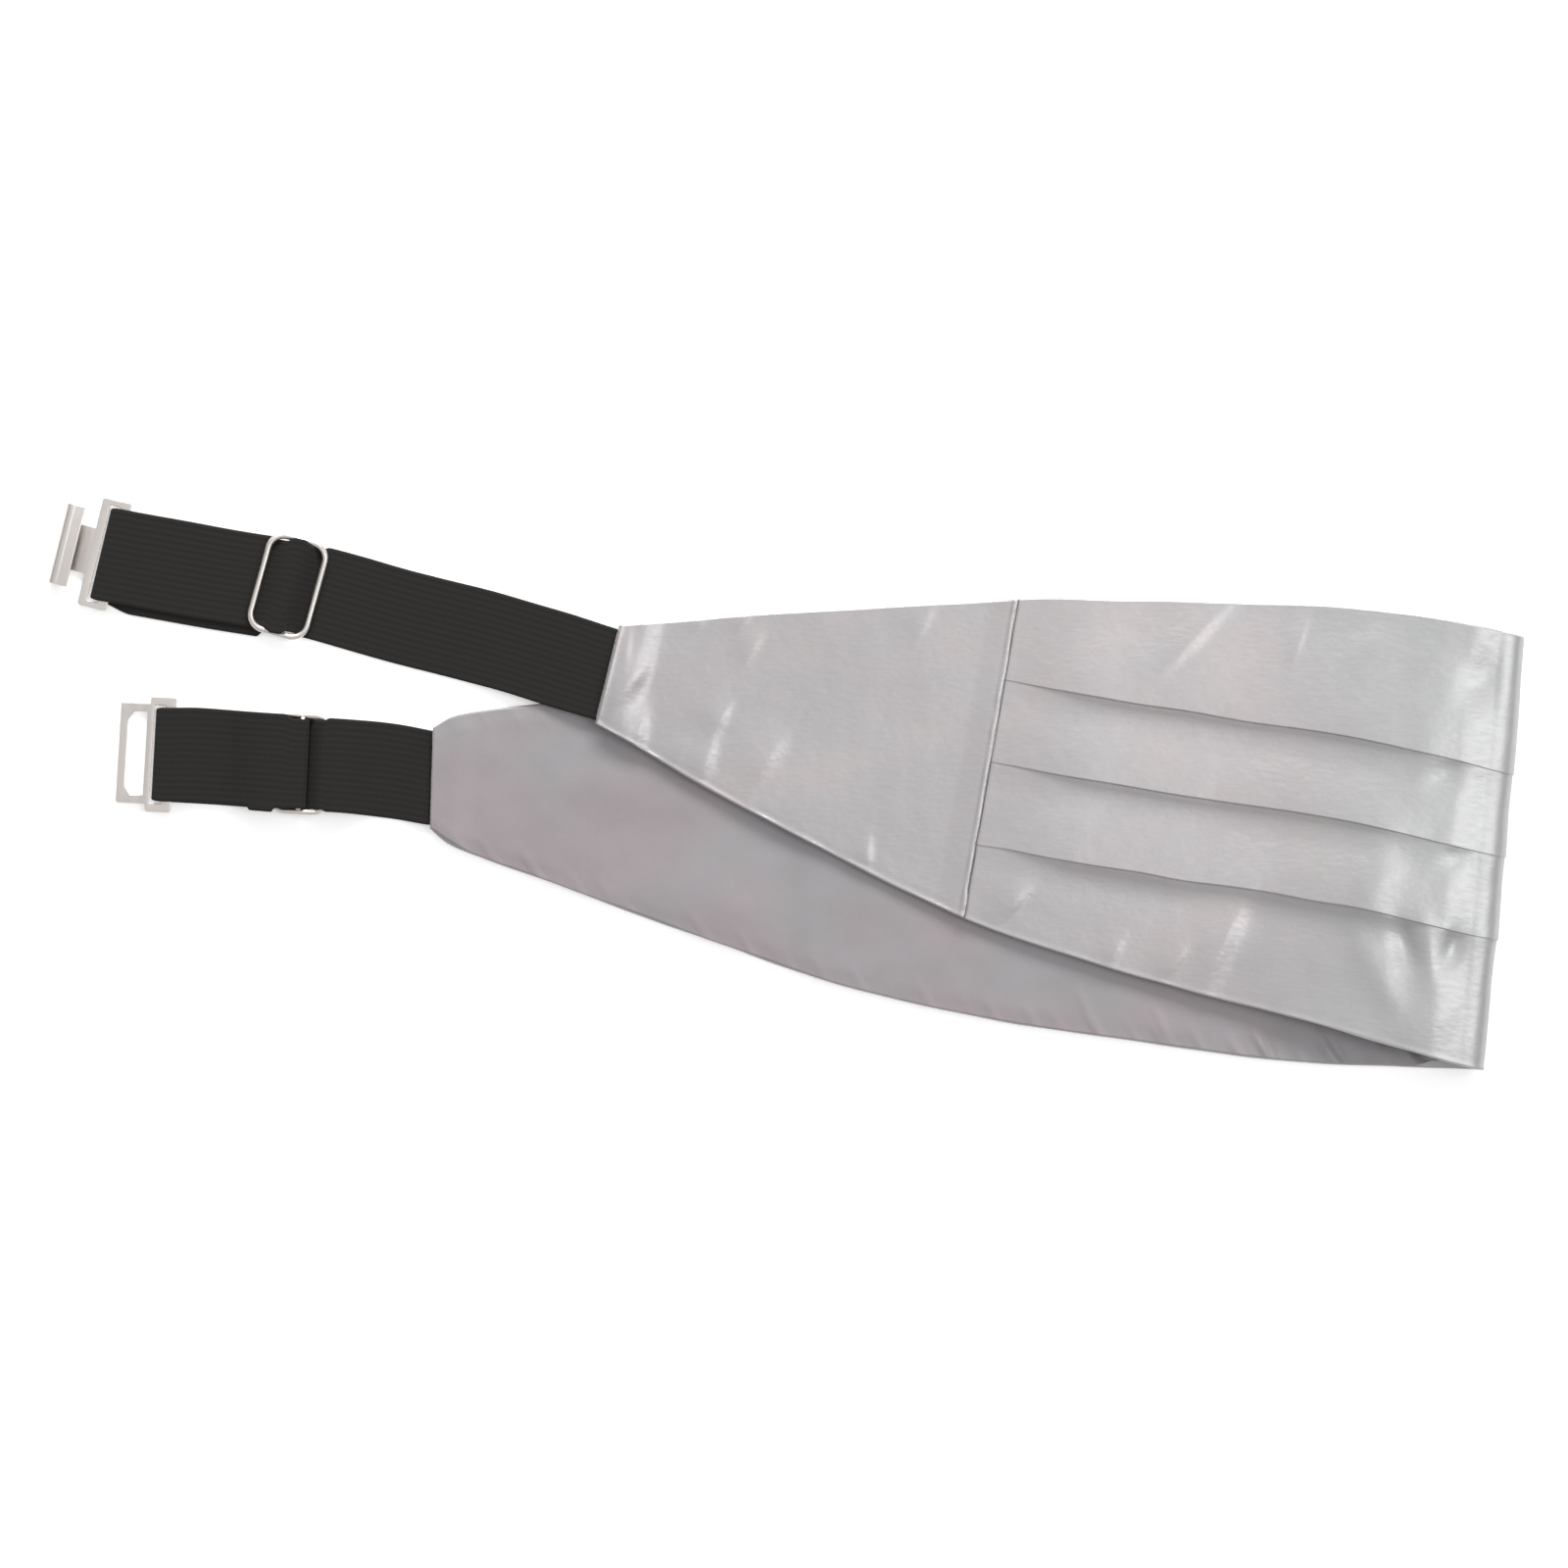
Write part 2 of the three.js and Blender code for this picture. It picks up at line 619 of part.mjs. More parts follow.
// The slider: a rounded rectangle of wire with a straight centre bar, X along the elastic, Y across it
function makeSlider() {
  const halfAlong = barSpacing / 2;
  const halfAcross = elasticWidth / 2 + sliderOverhang - wireRadius;
  const sides = 8;
  const cornerSteps = 4;
  const path = [];
  for (const [x, y, startAngle] of [[1, 1, 0], [-1, 1, 90], [-1, -1, 180], [1, -1, 270]]) {
    for (const share of range(cornerSteps)) {
      const angle = radians(startAngle + 90 * share);
      path.push({
        out: new THREE.Vector3(Math.cos(angle), Math.sin(angle), 0),
        centre: new THREE.Vector3(x * (halfAlong - sliderCorner), y * (halfAcross - sliderCorner), 0),
      });
    }
  }
  const rings = path.map(({ out, centre }) => Array.from({ length: sides }, (_, side) => {
    const angle = 2 * Math.PI * (side + 0.5) / sides;
    return centre.clone()
      .addScaledVector(out, sliderCorner + wireRadius * Math.cos(angle))
      .add(new THREE.Vector3(0, 0, wireRadius * Math.sin(angle)));
  }));
  const bar = new THREE.CylinderGeometry(wireRadius, wireRadius, 2 * halfAcross, sides);
  return toGeometry(toSolid(skin(rings)).add(toSolid(bar)));
}

// A bent strip of sheet metal: middle line in the plane along the elastic and upwards, drawn across it
function bentPlate(line, width) {
  const half = plateThickness / 2;
  const side = (sign) => line.map((here, index) => {
    const before = line[Math.max(index - 1, 0)];
    const after = line[Math.min(index + 1, line.length - 1)];
    const tangent = after.clone().sub(before).normalize();
    return new THREE.Vector2(here.x - sign * half * tangent.y, here.y + sign * half * tangent.x);
  });
  const outline = new THREE.Shape([...side(1), ...side(-1).reverse()]);
  const geometry = new THREE.ExtrudeGeometry(outline, { depth: width, bevelEnabled: false });
  return geometry.translate(0, 0, -width / 2).rotateX(Math.PI / 2);
}

// A flat outline in plan cut right through the clasp
function cutter(corners) {
  const depth = 6 * hookRadius;
  const outline = new THREE.Shape(corners.map(([x, y]) => new THREE.Vector2(x, y)));
  return new THREE.ExtrudeGeometry(outline, { depth, bevelEnabled: false }).translate(0, 0, -depth / 2);
}
const rectangle = (x0, x1, halfWidth) => [[x0, -halfWidth], [x1, -halfWidth], [x1, halfWidth], [x0, halfWidth]];

// The plate with the slot that the elastic goes through: X is away from the elastic's end
function claspFrame(frame) {
  const halfSlot = elasticWidth / 2 + slotClearance;
  const line = [new THREE.Vector2(frame.right, plateLevel), new THREE.Vector2(frame.left, plateLevel)];
  const plate = toSolid(bentPlate(line, 2 * (halfSlot + frame.arm)));
  const slot = rectangle(frame.right + frame.wrappedBar, frame.left - frame.leftBar, halfSlot);
  return plate.subtract(toSolid(cutter(slot)));
}

function makeHookClasp() {
  const low = plateThickness / 2;
  const curl = hookRadius - low;
  const centre = hookReach - hookRadius;
  const lip = hookReach - hookLip;
  const rolled = range(9).map((share) => {
    const angle = Math.PI * (-0.5 + 1.25 * share);
    return new THREE.Vector2(centre + curl * Math.cos(angle), hookRadius + curl * Math.sin(angle));
  });
  const lipLevel = hookRadius + lipOpening;
  const roll = [
    new THREE.Vector2(centre - hookRadius, low),
    ...rolled,
    new THREE.Vector2(mix(lip, centre - curl, 0.5), lipLevel - lipOpening / 7),
    new THREE.Vector2(lip, lipLevel + lipOpening / 5),
  ];
  const neck = [
    new THREE.Vector2(hookFrame.left - hookFrame.leftBar / 2, plateLevel),
    new THREE.Vector2(hookFrame.left + bendLead, plateLevel),
    new THREE.Vector2(mix(hookFrame.left, centre - hookRadius, 0.6), low),
    new THREE.Vector2(centre - hookRadius + bendLead, low),
  ];
  return toGeometry(claspFrame(hookFrame)
    .add(toSolid(bentPlate(neck, neckWidth)))
    .add(toSolid(bentPlate(roll, hookWidth))));
}

function makeEyeClasp() {
  const low = plateThickness / 2;
  const openingLeft = eyeReach - eyeOuterBar;
  const openingRight = eyeFrame.left - eyeFrame.leftBar + eyeInnerBar;
  const opening = openingLeft - openingRight;
  const halfOpening = eyeOpeningWidth / 2;
  const line = [
    new THREE.Vector2(eyeFrame.left - eyeFrame.leftBar, plateLevel),
    new THREE.Vector2(openingRight - bendLead, plateLevel),
    new THREE.Vector2(openingRight + 0.25 * opening, mix(plateLevel, low, 0.5)),
    new THREE.Vector2(openingRight + 0.55 * opening, mix(plateLevel, low, 0.5)),
    new THREE.Vector2(openingLeft - bendLead, low),
    new THREE.Vector2(eyeReach, low),
  ];
  const corners = [
    [openingRight, -halfOpening],
    [openingLeft - eyeChamfer.along, -halfOpening],
    [openingLeft, -halfOpening + eyeChamfer.across],
    [openingLeft, halfOpening - eyeChamfer.across],
    [openingLeft - eyeChamfer.along, halfOpening],
    [openingRight, halfOpening],
  ];
  return toGeometry(claspFrame(eyeFrame)
    .add(toSolid(bentPlate(line, eyeWidth)))
    .subtract(toSolid(cutter(corners))));
}

// Materials
const satin = { color: 0xbebcbc, roughness: 0.35, metalness: 0.1 };
const liningCloth = { color: 0xa9a2a5, roughness: 0.6, metalness: 0 };
const elastic = { color: 0x322f2d, roughness: 0.9, metalness: 0 };
const nickel = { color: 0xd8cfca, roughness: 0.3, metalness: 1 };

function addPiece(parent, name, geometry, finish) {
  const piece = new THREE.Mesh(geometry, new THREE.MeshStandardMaterial({ ...finish, flatShading: true }));
  piece.name = name;
  parent.add(piece);
  return piece;
}

// Turns and places a clasp or slider on its elastic, with X along the elastic away from the satin
function placeOnStrap(piece, strap, along, turn) {
  piece.position.copy(strapMiddle(strap, along));
  piece.rotation.z = Math.PI - strapBearing(strap, along) - turn;
}

const cummerbund = new THREE.Group();
const body = new THREE.Group();
cummerbund.add(body);
addPiece(body, 'front_panel_pleated', frontPanel, satin);
addPiece(body, 'side_panel_hook_side', hookSidePanel, satin);
addPiece(body, 'side_panel_eye_side', eyeSidePanel, satin);
addPiece(body, 'lining', lining, liningCloth);
addPiece(body, 'elastic_hook_side', makeElastic(hookStrap), elastic);
addPiece(body, 'elastic_eye_side', makeElastic(eyeStrap), elastic);

for (const [name, strap] of [['slider_hook_side', hookStrap], ['slider_eye_side', eyeStrap]]) {
  const slider = addPiece(body, name, makeSlider(), nickel);
  placeOnStrap(slider, strap, strap.slider, strap.sliderTurn);
  slider.position.z = strapHeight(strap, strap.slider, centreBarLevel);
  const tilt = Math.atan2(farBarLevel - nearBarLevel, barSpacing) * (strap.outsideUp ? 1 : -1);
  slider.rotation.order = 'ZYX';
  slider.rotation.y = -tilt;
}

for (const [name, strap, geometry] of [
  ['hook_clasp', hookStrap, makeHookClasp()],
  ['eye_clasp', eyeStrap, makeEyeClasp()],
]) {
  placeOnStrap(addPiece(body, name, geometry, nickel), strap, strap.length, strap.claspTurn);
}

// The origin is the middle of the whole object's footprint, on the surface that it lies on
cummerbund.updateMatrixWorld(true);
const bounds = new THREE.Box3().setFromObject(cummerbund, true);
const centre = bounds.getCenter(new THREE.Vector3());
body.position.set(-centre.x, -centre.y, -bounds.min.z);

export default cummerbund;
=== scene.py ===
# %% [markdown]
# A man's satin cummerbund, folded once and laid flat, seen from straight above.
# The packed model holds its sizes. This lesson gives it cloth and metal: satin with real folded
# pleats, a lining with puckers, ribbed elastic, and bent and polished clasps.
# Each piece is a surface worked out from a formula on a grid, because cloth that is sewn and pressed
# follows its pattern much more closely than loose cloth does.

# %% Load the frame
import math

import bpy
import numpy as np
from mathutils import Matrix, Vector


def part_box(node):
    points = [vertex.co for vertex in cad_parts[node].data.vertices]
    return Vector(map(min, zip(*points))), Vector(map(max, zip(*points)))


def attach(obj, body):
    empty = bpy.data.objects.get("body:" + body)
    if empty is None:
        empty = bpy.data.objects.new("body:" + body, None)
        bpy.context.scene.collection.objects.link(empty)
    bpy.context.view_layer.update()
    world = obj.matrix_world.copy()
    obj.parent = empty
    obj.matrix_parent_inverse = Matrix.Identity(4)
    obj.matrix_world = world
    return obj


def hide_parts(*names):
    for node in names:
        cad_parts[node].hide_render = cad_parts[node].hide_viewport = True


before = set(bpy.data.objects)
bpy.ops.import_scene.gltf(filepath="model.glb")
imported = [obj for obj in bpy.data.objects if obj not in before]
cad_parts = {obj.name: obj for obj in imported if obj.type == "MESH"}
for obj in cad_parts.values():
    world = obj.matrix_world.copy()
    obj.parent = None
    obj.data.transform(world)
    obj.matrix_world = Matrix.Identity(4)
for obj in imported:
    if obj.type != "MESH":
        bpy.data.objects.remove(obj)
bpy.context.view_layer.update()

print("frame", sorted(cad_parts))

# %% [markdown]
# The sash was cut flat to a pattern, so its sizes are few: how high and long the panels are, how
# thick the cloth is, and where it is folded. All lengths here are millimetres, as a pattern cutter
# gives them, and become metres only when a mesh is made.

# %% Sizes of the sash
FOLD_HEIGHT = 138
FRONT_LENGTH = 380
SIDE_LENGTH = 125
FOLD_SHIFT = 25.6  # from the middle of the front panel to the fold
SATIN_THICKNESS = 1.2  # with its interlining
LINING_THICKNESS = 1.0
LINING_INSET = 0.35
LAYER_GAP = 0.3
HALF_GAP = LAYER_GAP / 2
PLEATS = 3
PLEAT_PITCH = 26.5
PLEAT_CENTRE = 0.51
SEAM_STEP = 0.7  # how far a pleat edge stands proud at the seam
OPEN_STEP = 3.9  # where it stands open
FOLD_STEP = 0.9  # where the fold pulls it flat
PRESSED_STEP = 0.9  # where the sash lies on it
PLEAT_OPENING = 33  # distance from the seam over which the pleats open
FOLD_PULL = (6, 45)  # distance from the fold at which they begin to open, and over which
MOUTH_DEPTH = 5
SAG = 0.55  # share of the step by which a tier sags below the pleat edge above it
SAG_REACH = 10
SEAM_FADE = 10
LOOP_DEPTH = 6.5  # from the fold's outermost line to where the cloth runs straight
LOOP_RISE = 9
LOOP_REACH = 95
SHOULDER_DROP = 1.9  # how far the top half rounds down towards the fold
SHOULDER_RISE, SHOULDER_FALL = (0, 7), (3.5, 13)  # where that begins and ends, each start and length
HOLLOWS_RISE = (-1, 8)  # where the hollows beside the fold begin, and over which length
STIRRED = (6, 60)  # distance from the fold at which its ripples begin to calm, and over which
CALM_SHARE = 0.4  # share of their height left beyond
STIRRED_LIFT = 0.2  # how far the cloth is lifted beside the fold
EDGE_TURN = 0.55  # how far from a cloth edge its face begins to turn
ELASTIC_WIDTH = 30
ELASTIC_THICKNESS = 1.0
END_HEIGHT = ELASTIC_WIDTH + 2 * 1.2
TUCK = 7
POCKET = 8
LAYER_PITCH = ELASTIC_THICKNESS + LAYER_GAP
HALF_LENGTH = FRONT_LENGTH / 2 + SIDE_LENGTH
print("pleated front", FRONT_LENGTH, "x", FOLD_HEIGHT, "mm, sides", SIDE_LENGTH, "mm long")

# %% [markdown]
# A pattern piece is drawn as a smooth curve through a few marked points. The helper below does the
# same: it reads one column of a short table as a curve through its rows.

# %% Curves through tables
def mix(a, b, share):
    """The value at a share of the way from a to b."""
    return a + (b - a) * share


def smooth(value):
    """From 0 to 1 without a kink at either end."""
    share = np.clip(value, 0, 1)
    return share * share * (3 - 2 * share)


def ramp(value, start, length):
    """From 0 at start to 1 one length further, without a kink."""
    return smooth((value - start) / length)


def curve(table, key, at, column):
    """A cubic through the rows of a table, whose slope at a row is that between its neighbours."""
    x, y = np.array(table[key], float), np.array(table[column], float)
    before, after = np.maximum(np.arange(len(x)) - 1, 0), np.minimum(np.arange(len(x)) + 1, len(x) - 1)
    slope = (y[after] - y[before]) / (x[after] - x[before])
    at = np.asarray(at, float)
    row = np.clip(np.searchsorted(x, at) - 1, 0, len(x) - 2)
    span = x[row + 1] - x[row]
    t = np.clip((at - x[row]) / span, 0, 1)
    start = (1 + 2 * t) * (1 - t) ** 2
    bend = t * (1 - t) ** 2 * slope[row] + t * t * (t - 1) * slope[row + 1]
    return start * y[row] + (1 - start) * y[row + 1] + span * bend


HEIGHTS = {
    "along": [0, 0.13, 0.34, 0.54, 0.607, 0.79, 0.89, 0.94, 0.98, 1],
    "hook": [1, 1, 0.898, 0.74, 0.665, 0.375, 0.203, 0.108, 0.036, 0],
    "eye": [1, 1, 0.898, 0.74, 0.665, 0.378, 0.22, 0.15, 0.08, 0],
}
HOOK_LIE = {
    "along": [0, 0.17, 0.39, 0.6, 0.8, 1],
    "bow": [0, 0.0115, -0.0084, -0.0175, -0.011, 0],
    "lean": [5.45, 6.7, 8.4, 10, 12, 13.9],
}
EYE_LIE = {
    "along": [0, 0.1, 0.32, 0.5, 0.65, 0.85, 1],
    "bow": [0, -0.011, -0.016, -0.028, -0.022, -0.014, 0],
    "lean": [5.45, 5.1, 4.3, 3.6, 3, 2.3, 1.7],
}
HOOK = {
    "side": "hook",
    "bearing": math.radians(11.3),
    "length": HALF_LENGTH - FOLD_SHIFT,
    "seam": FRONT_LENGTH / 2 - FOLD_SHIFT,
    "middle": -FOLD_SHIFT,
    "lie": HOOK_LIE,
}
EYE = {
    "side": "eye",
    "bearing": math.radians(4),
    "length": HALF_LENGTH + FOLD_SHIFT,
    "seam": FRONT_LENGTH / 2 + FOLD_SHIFT,
    "middle": FOLD_SHIFT,
    "lie": EYE_LIE,
}


def body_height(half, from_fold):
    """Height of the sash at a distance from the fold."""
    along = np.minimum(np.abs(from_fold - half["middle"]) / HALF_LENGTH, 1)
    return mix(END_HEIGHT, FOLD_HEIGHT, curve(HEIGHTS, "along", along, half["side"]))


def body_plan(half, from_fold):
    """Where a cross line lies: its middle, the way up along it and the way from the fold, as x, y."""
    along = np.asarray(from_fold, float) / half["length"]
    bow = curve(half["lie"], "along", along, "bow") * FOLD_HEIGHT
    lean = np.radians(curve(half["lie"], "along", along, "lean"))
    c, s = math.cos(half["bearing"]), math.sin(half["bearing"])
    middle = np.stack([-c * from_fold + s * bow, s * from_fold + c * bow], -1)
    up = np.stack([np.sin(lean), np.cos(lean)], -1)
    away = np.stack([-np.cos(lean), np.sin(lean)], -1)
    return middle, up, away


print("satin from end to end", 2 * HALF_LENGTH, "mm")

# %% [markdown]
# An elastic is sewn in at each end of the body. Its middle line starts there and swings a little from
# side to side. The slider tells where the frame's origin lies, because its box is centred on it.

# %% How the elastics lie
HOOK_STRAP = {
    "half": HOOK,
    "outside_up": True,
    "length": 166,
    "slider": 166 - 60.6,
    "bearing": math.radians(13.5),
    "slider_turn": math.radians(4.5),
    "clasp_turn": math.radians(2),
    "peek": -2.6,  # how far the layer below has slipped
    "tail": 0,  # how far its sewn end sticks out
    "lie": {
        "along": [0, 0.22, 0.41, 0.6, 0.79, 1],
        "side": [0, 0.0134, 0.0165, 0.023, 0.0115, 0],
    },
}
EYE_STRAP = {
    "half": EYE,
    "outside_up": False,
    "length": 88.8,
    "slider": 88.8 - 47,
    "bearing": math.radians(4.95),
    "slider_turn": 0,
    "clasp_turn": math.radians(-0.6),
    "peek": 0.5,
    "tail": 1.5,
    "lie": {
        "along": [0, 0.14, 0.31, 0.5, 0.8, 1],
        "side": [0, 0.013, 0.0165, 0.0105, 0.006, 0],
    },
}


def strap_middle(strap, along):
    """Middle of an elastic in plan at a distance from the satin, as x, y."""
    along = np.asarray(along, float)
    share = np.clip(along / strap["length"], 0, 1)
    side = curve(strap["lie"], "along", share, "side") * strap["length"]
    start = body_plan(strap["half"], strap["half"]["length"])[0]
    c, s = math.cos(strap["bearing"]), math.sin(strap["bearing"])
    return start + np.stack([-c * along + s * side, s * along + c * side], -1)


def strap_bearing(strap, along):
    """Bearing of an elastic there, in radians from -X towards +Y."""
    probe = 2
    step = strap_middle(strap, along + probe) - strap_middle(strap, along - probe)
    return np.arctan2(step[..., 1], -step[..., 0])


slider_box = np.array(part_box("slider_hook_side")) * 1000
ORIGIN = slider_box.mean(0)[:2] - strap_middle(HOOK_STRAP, HOOK_STRAP["slider"])
print("fold line middle in the frame", ORIGIN.round(2), "mm")

# %% [markdown]
# Cloth is never quite flat. Two sorts of relief are added: low random ripples, and creases that were
# set one by one where the sash shows them, each a long narrow hump. The same relief lifts satin and
# lining together, as one quilt.

# %% Ripples and creases
WAVES = 7


def ripple(wavelength, seed, x, y=0):
    """A sum of plane waves with random directions and phases, between about -1 and 1."""
    draw = np.random.default_rng(seed)
    total = np.zeros(np.broadcast(x, y).shape)
    for _ in range(WAVES):
        angle, phase = draw.uniform(0, 2 * np.pi, 2)
        pitch = wavelength * draw.uniform(0.7, 1.5)
        total += np.sin(2 * np.pi * (x * math.cos(angle) + y * math.sin(angle)) / pitch + phase)
    return total / math.sqrt(WAVES) / 1.5


def ripples(rows, x, y=0):
    """Sum of ripples. A row holds wavelength, seed and height."""
    return sum(height * ripple(wavelength, seed, x, y) for wavelength, seed, height in rows)


def humps(rows, x, y, tiers=None, gentle=1):
    """Sum of long humps. A row holds x, y, half length, half width, turn in degrees and height.
    A seventh value keeps a hump to that tier between the pleats; tiers tells each column's own.
    Gentle widens the far side only, so that one steep side is left."""
    total = np.zeros(np.broadcast(x, y).shape)
    for at_x, at_y, length, width, turn, height, *tier in rows:
        c, s = math.cos(math.radians(turn)), math.sin(math.radians(turn))
        along = ((x - at_x) * c + (y - at_y) * s) / length
        across = (-(x - at_x) * s + (y - at_y) * c) / width - (0.7 if gentle > 1 else 0)
        across = np.where(across > 0, across / gentle, across)
        belongs = 1 if not tier else 0 if tiers is None else np.clip(1 - np.abs(tiers - tier[0]), 0, 1)
        total += belongs * height * np.exp(-along**2 - across**2)
    return total


# wavelength, seed, height
CLOTH_RIPPLES = [(34, 3, 0.16), (11, 5, 0.05)]
LINING_RIPPLES = [(40, 45, 0.22), (15, 46, 0.08)]
RIDGE_RIPPLES = [(9, 31, 0.3), (3, 32, 0.12)]
SEAM_RIPPLES = [(5, 33, 0.16), (16, 34, 0.26)]

# x, y, half length, half width, turn, height
SATIN_CREASES = [
    (132, 46, 14, 2.4, 46, 0.9),
    (165, 46, 8, 1.6, 74, 0.5),
    (141.5, -52.5, 19, 4, 66, 1.5),
    (125.3, -57.3, 7, 2, 55, 0.8),
    (106, -54.5, 5, 1.4, 62, 0.5),
    (74, -38.9, 7, 2, 49, 0.85),
    (-9.4, 42.7, 5, 1.7, 57, 0.5),
    (-19.5, 19.8, 6, 2.2, 62, 0.8),
    (-23.7, 6.7, 7, 2.8, 74, 1.1),
    (-4.1, 6.1, 9, 3.2, 58, 0.9),
    (27.2, -21.7, 5, 1.6, 88, 0.5),
    (45.3, 50.8, 6, 2, 64, 0.35),
    (-50, 28.6, 11, 3.6, 52, 1.5),
    (-45.1, 15.6, 8, 2.6, 80, 1.2),
    (-49.4, 43.3, 7, 1.5, 87, 0.4),
    (-57, 38, 9, 2.2, 74, 0.5),
    (-27, 50, 4, 1.2, 45, 0.35),
    (-12.5, 51, 4, 1.2, 45, 0.35),
    (-33, 8.5, 5, 1.5, 60, 0.35),
]
FOLD_CREASES = [
    (196.5, -52, 10, 3.6, 102, -1.2),
    (197.5, -51, 9, 3, 104, -0.8, 3),
    (212, -52, 7, 3.6, 76, -1.2),
    (212, -51, 6, 3, 78, -0.6, 3),
    (188, -60, 16, 4.5, 116, 0.8),
    (204.5, -53, 9, 2.6, 97, 0.7),
    (203, -78, 10, 6, 40, 0.5),
    (220.5, 33, 9, 5.5, 72, -1.4),
    (211, 3.5, 6, 4.5, 40, -0.9, 1),
    (213, -23, 5, 4, 50, -0.9, 2),
    (188, -27, 16, 8, 78, 1.5),
    (187, 44, 9, 5, 40, 0.5),
    (206, 40, 10, 5, 60, 0.4),
    (205, 14, 12, 6, 82, 0.5),
]
LINING_CREASES = [
    (152, -84, 6, 1.1, 118, 1.0),
    (155, -84.5, 6, 1.1, 118, -0.7),
    (173, -86, 7, 1.2, 120, 1.3),
    (176.5, -86, 6, 1.2, 120, -1.0),
    (189, -85, 8, 2.2, 116, 1.0),
    (203, -86.5, 6, 1.4, 130, -1.5),
    (207, -88, 5, 1.3, 62, -1.2),
    (198, -86, 6, 1.6, 122, 1.1),
    (120, -77, 6, 1.2, 115, 0.6),
    (95, -70, 5, 1.2, 112, 0.4),
    (-30, -35, 30, 9, 160, 0.6),
    (-60, 0, 34, 8, 170, 0.5),
]
print("creases", len(SATIN_CREASES) + len(FOLD_CREASES), "in satin,", len(LINING_CREASES), "in the lining")

# %% [markdown]
# The body is a row of cross lines from one end, round the fold, to the other. Away from the fold a
# line lies flat. At the fold the lines turn through half an ellipse. Each line knows its height, its
# level, which way is outwards, and how far its pleats stand proud.

# %% Cross lines of the body
def step_at(half, from_fold, full):
    """How far the pleats stand proud: little at the seam, open in the panel, dying out beyond the seam."""
    inside = half["seam"] - from_fold
    opened = mix(SEAM_STEP, full, smooth(inside / PLEAT_OPENING))
    return np.where(inside < 0, SEAM_STEP * (1 - smooth(-inside / SEAM_FADE)), opened)


def pocket_at(half, from_fold):
    """How far satin and lining part for the end of the elastic."""
    return LAYER_PITCH * ramp(from_fold, half["length"] - TUCK - POCKET, POCKET)


def lower_level(from_fold):
    """Level between satin and lining on the half below."""
    return SATIN_THICKNESS + HALF_GAP + step_at(EYE, from_fold, PRESSED_STEP)


def upper_level(from_fold):
    """Level between satin and lining on the top half, lifted near the fold."""
    stack = SATIN_THICKNESS + PRESSED_STEP + 2 * LINING_THICKNESS + 4 * HALF_GAP + LAYER_GAP
    lift = LOOP_RISE * (1 - ramp(from_fold, LOOP_DEPTH, LOOP_REACH - LOOP_DEPTH))
    return stack + pocket_at(HOOK, from_fold) + lift


class CrossLines:
    """Cross lines at signed distances from the fold: above 0 on the top half, below 0 on the other.
    Nearer than LOOP_DEPTH the distance is an angle on half an ellipse."""

    def __init__(self, run):
        run = np.asarray(run, float)
        self.run = run
        bend = np.clip(run / LOOP_DEPTH, -1, 1)
        angle = bend * math.pi / 2
        round_end = np.abs(bend) < 1
        top = run > 0
        distance = np.where(round_end, LOOP_DEPTH * (1 - np.cos(angle)), np.abs(run))
        low, high = lower_level(LOOP_DEPTH), upper_level(LOOP_DEPTH)
        radius = (high - low) / 2
        flat = np.where(top, upper_level(distance), lower_level(distance))
        self.level = np.where(round_end, (low + high) / 2 + radius * np.sin(angle), flat)
        probe = 0.5
        rise = np.where(top, upper_level(distance + probe) - upper_level(distance - probe),
                        lower_level(distance + probe) - lower_level(distance - probe)) / (2 * probe)
        side = np.where(top, 1, -1)
        out_away = np.where(round_end, -np.cos(angle) / LOOP_DEPTH, -side * rise)
        out_up = np.where(round_end, np.sin(angle) / radius, side)
        length = np.hypot(out_away, out_up)
        self.out_away, self.out_up = out_away / length, out_up / length
        share = bend / 2 + 0.5
        self.pressed = np.where(round_end, 1 - smooth(2 * share), np.where(top, 0, 1))
        opened = mix(FOLD_STEP, OPEN_STEP, ramp(distance, *FOLD_PULL))
        steps = np.where(top, step_at(HOOK, distance, opened), step_at(EYE, distance, PRESSED_STEP))
        self.step = np.where(round_end, mix(PRESSED_STEP, FOLD_STEP, share), steps)
        self.distance = distance
        self.height = np.where(top, body_height(HOOK, distance), body_height(EYE, distance))
        plans = [np.where(top[:, None], a, b) for a, b in
                 zip(body_plan(HOOK, distance), body_plan(EYE, distance))]
        self.middle, self.up, self.away = plans

    def plan(self, down):
        """x, y in the frame of the points that far down from the upper edge."""
        offset = self.height[:, None] / 2 - down
        return ORIGIN + self.middle[:, None] + self.up[:, None] * offset[..., None]

    def relief(self, down, tiers=None):
        """Lift of the whole cloth: creases and ripples on the top half, hollows and a round shoulder
        beside the fold."""
        x, y = np.moveaxis(self.plan(down), -1, 0)
        loose = 1 - self.pressed[:, None]
        near = 1 - ramp(self.distance[:, None], *STIRRED)
        stirred = mix(CALM_SHARE, 1, near) * ripples(CLOTH_RIPPLES, x, y) + STIRRED_LIFT * near
        run = self.run[:, None]
        hollows = humps(FOLD_CREASES, x, y, tiers) * ramp(run, *HOLLOWS_RISE)
        shoulder = SHOULDER_DROP * ramp(run, *SHOULDER_RISE) * (1 - ramp(run, *SHOULDER_FALL))
        return loose * (humps(SATIN_CREASES, x, y, gentle=3) + stirred + hollows - shoulder)

    def points(self, down, out):
        """Points down from the upper edge and out from between satin and lining, in millimetres."""
        xy = self.plan(down) + self.away[:, None] * (self.out_away[:, None] * out)[..., None]
        z = self.level[:, None] + self.out_up[:, None] * out
        return np.concatenate([xy, z[..., None]], -1)


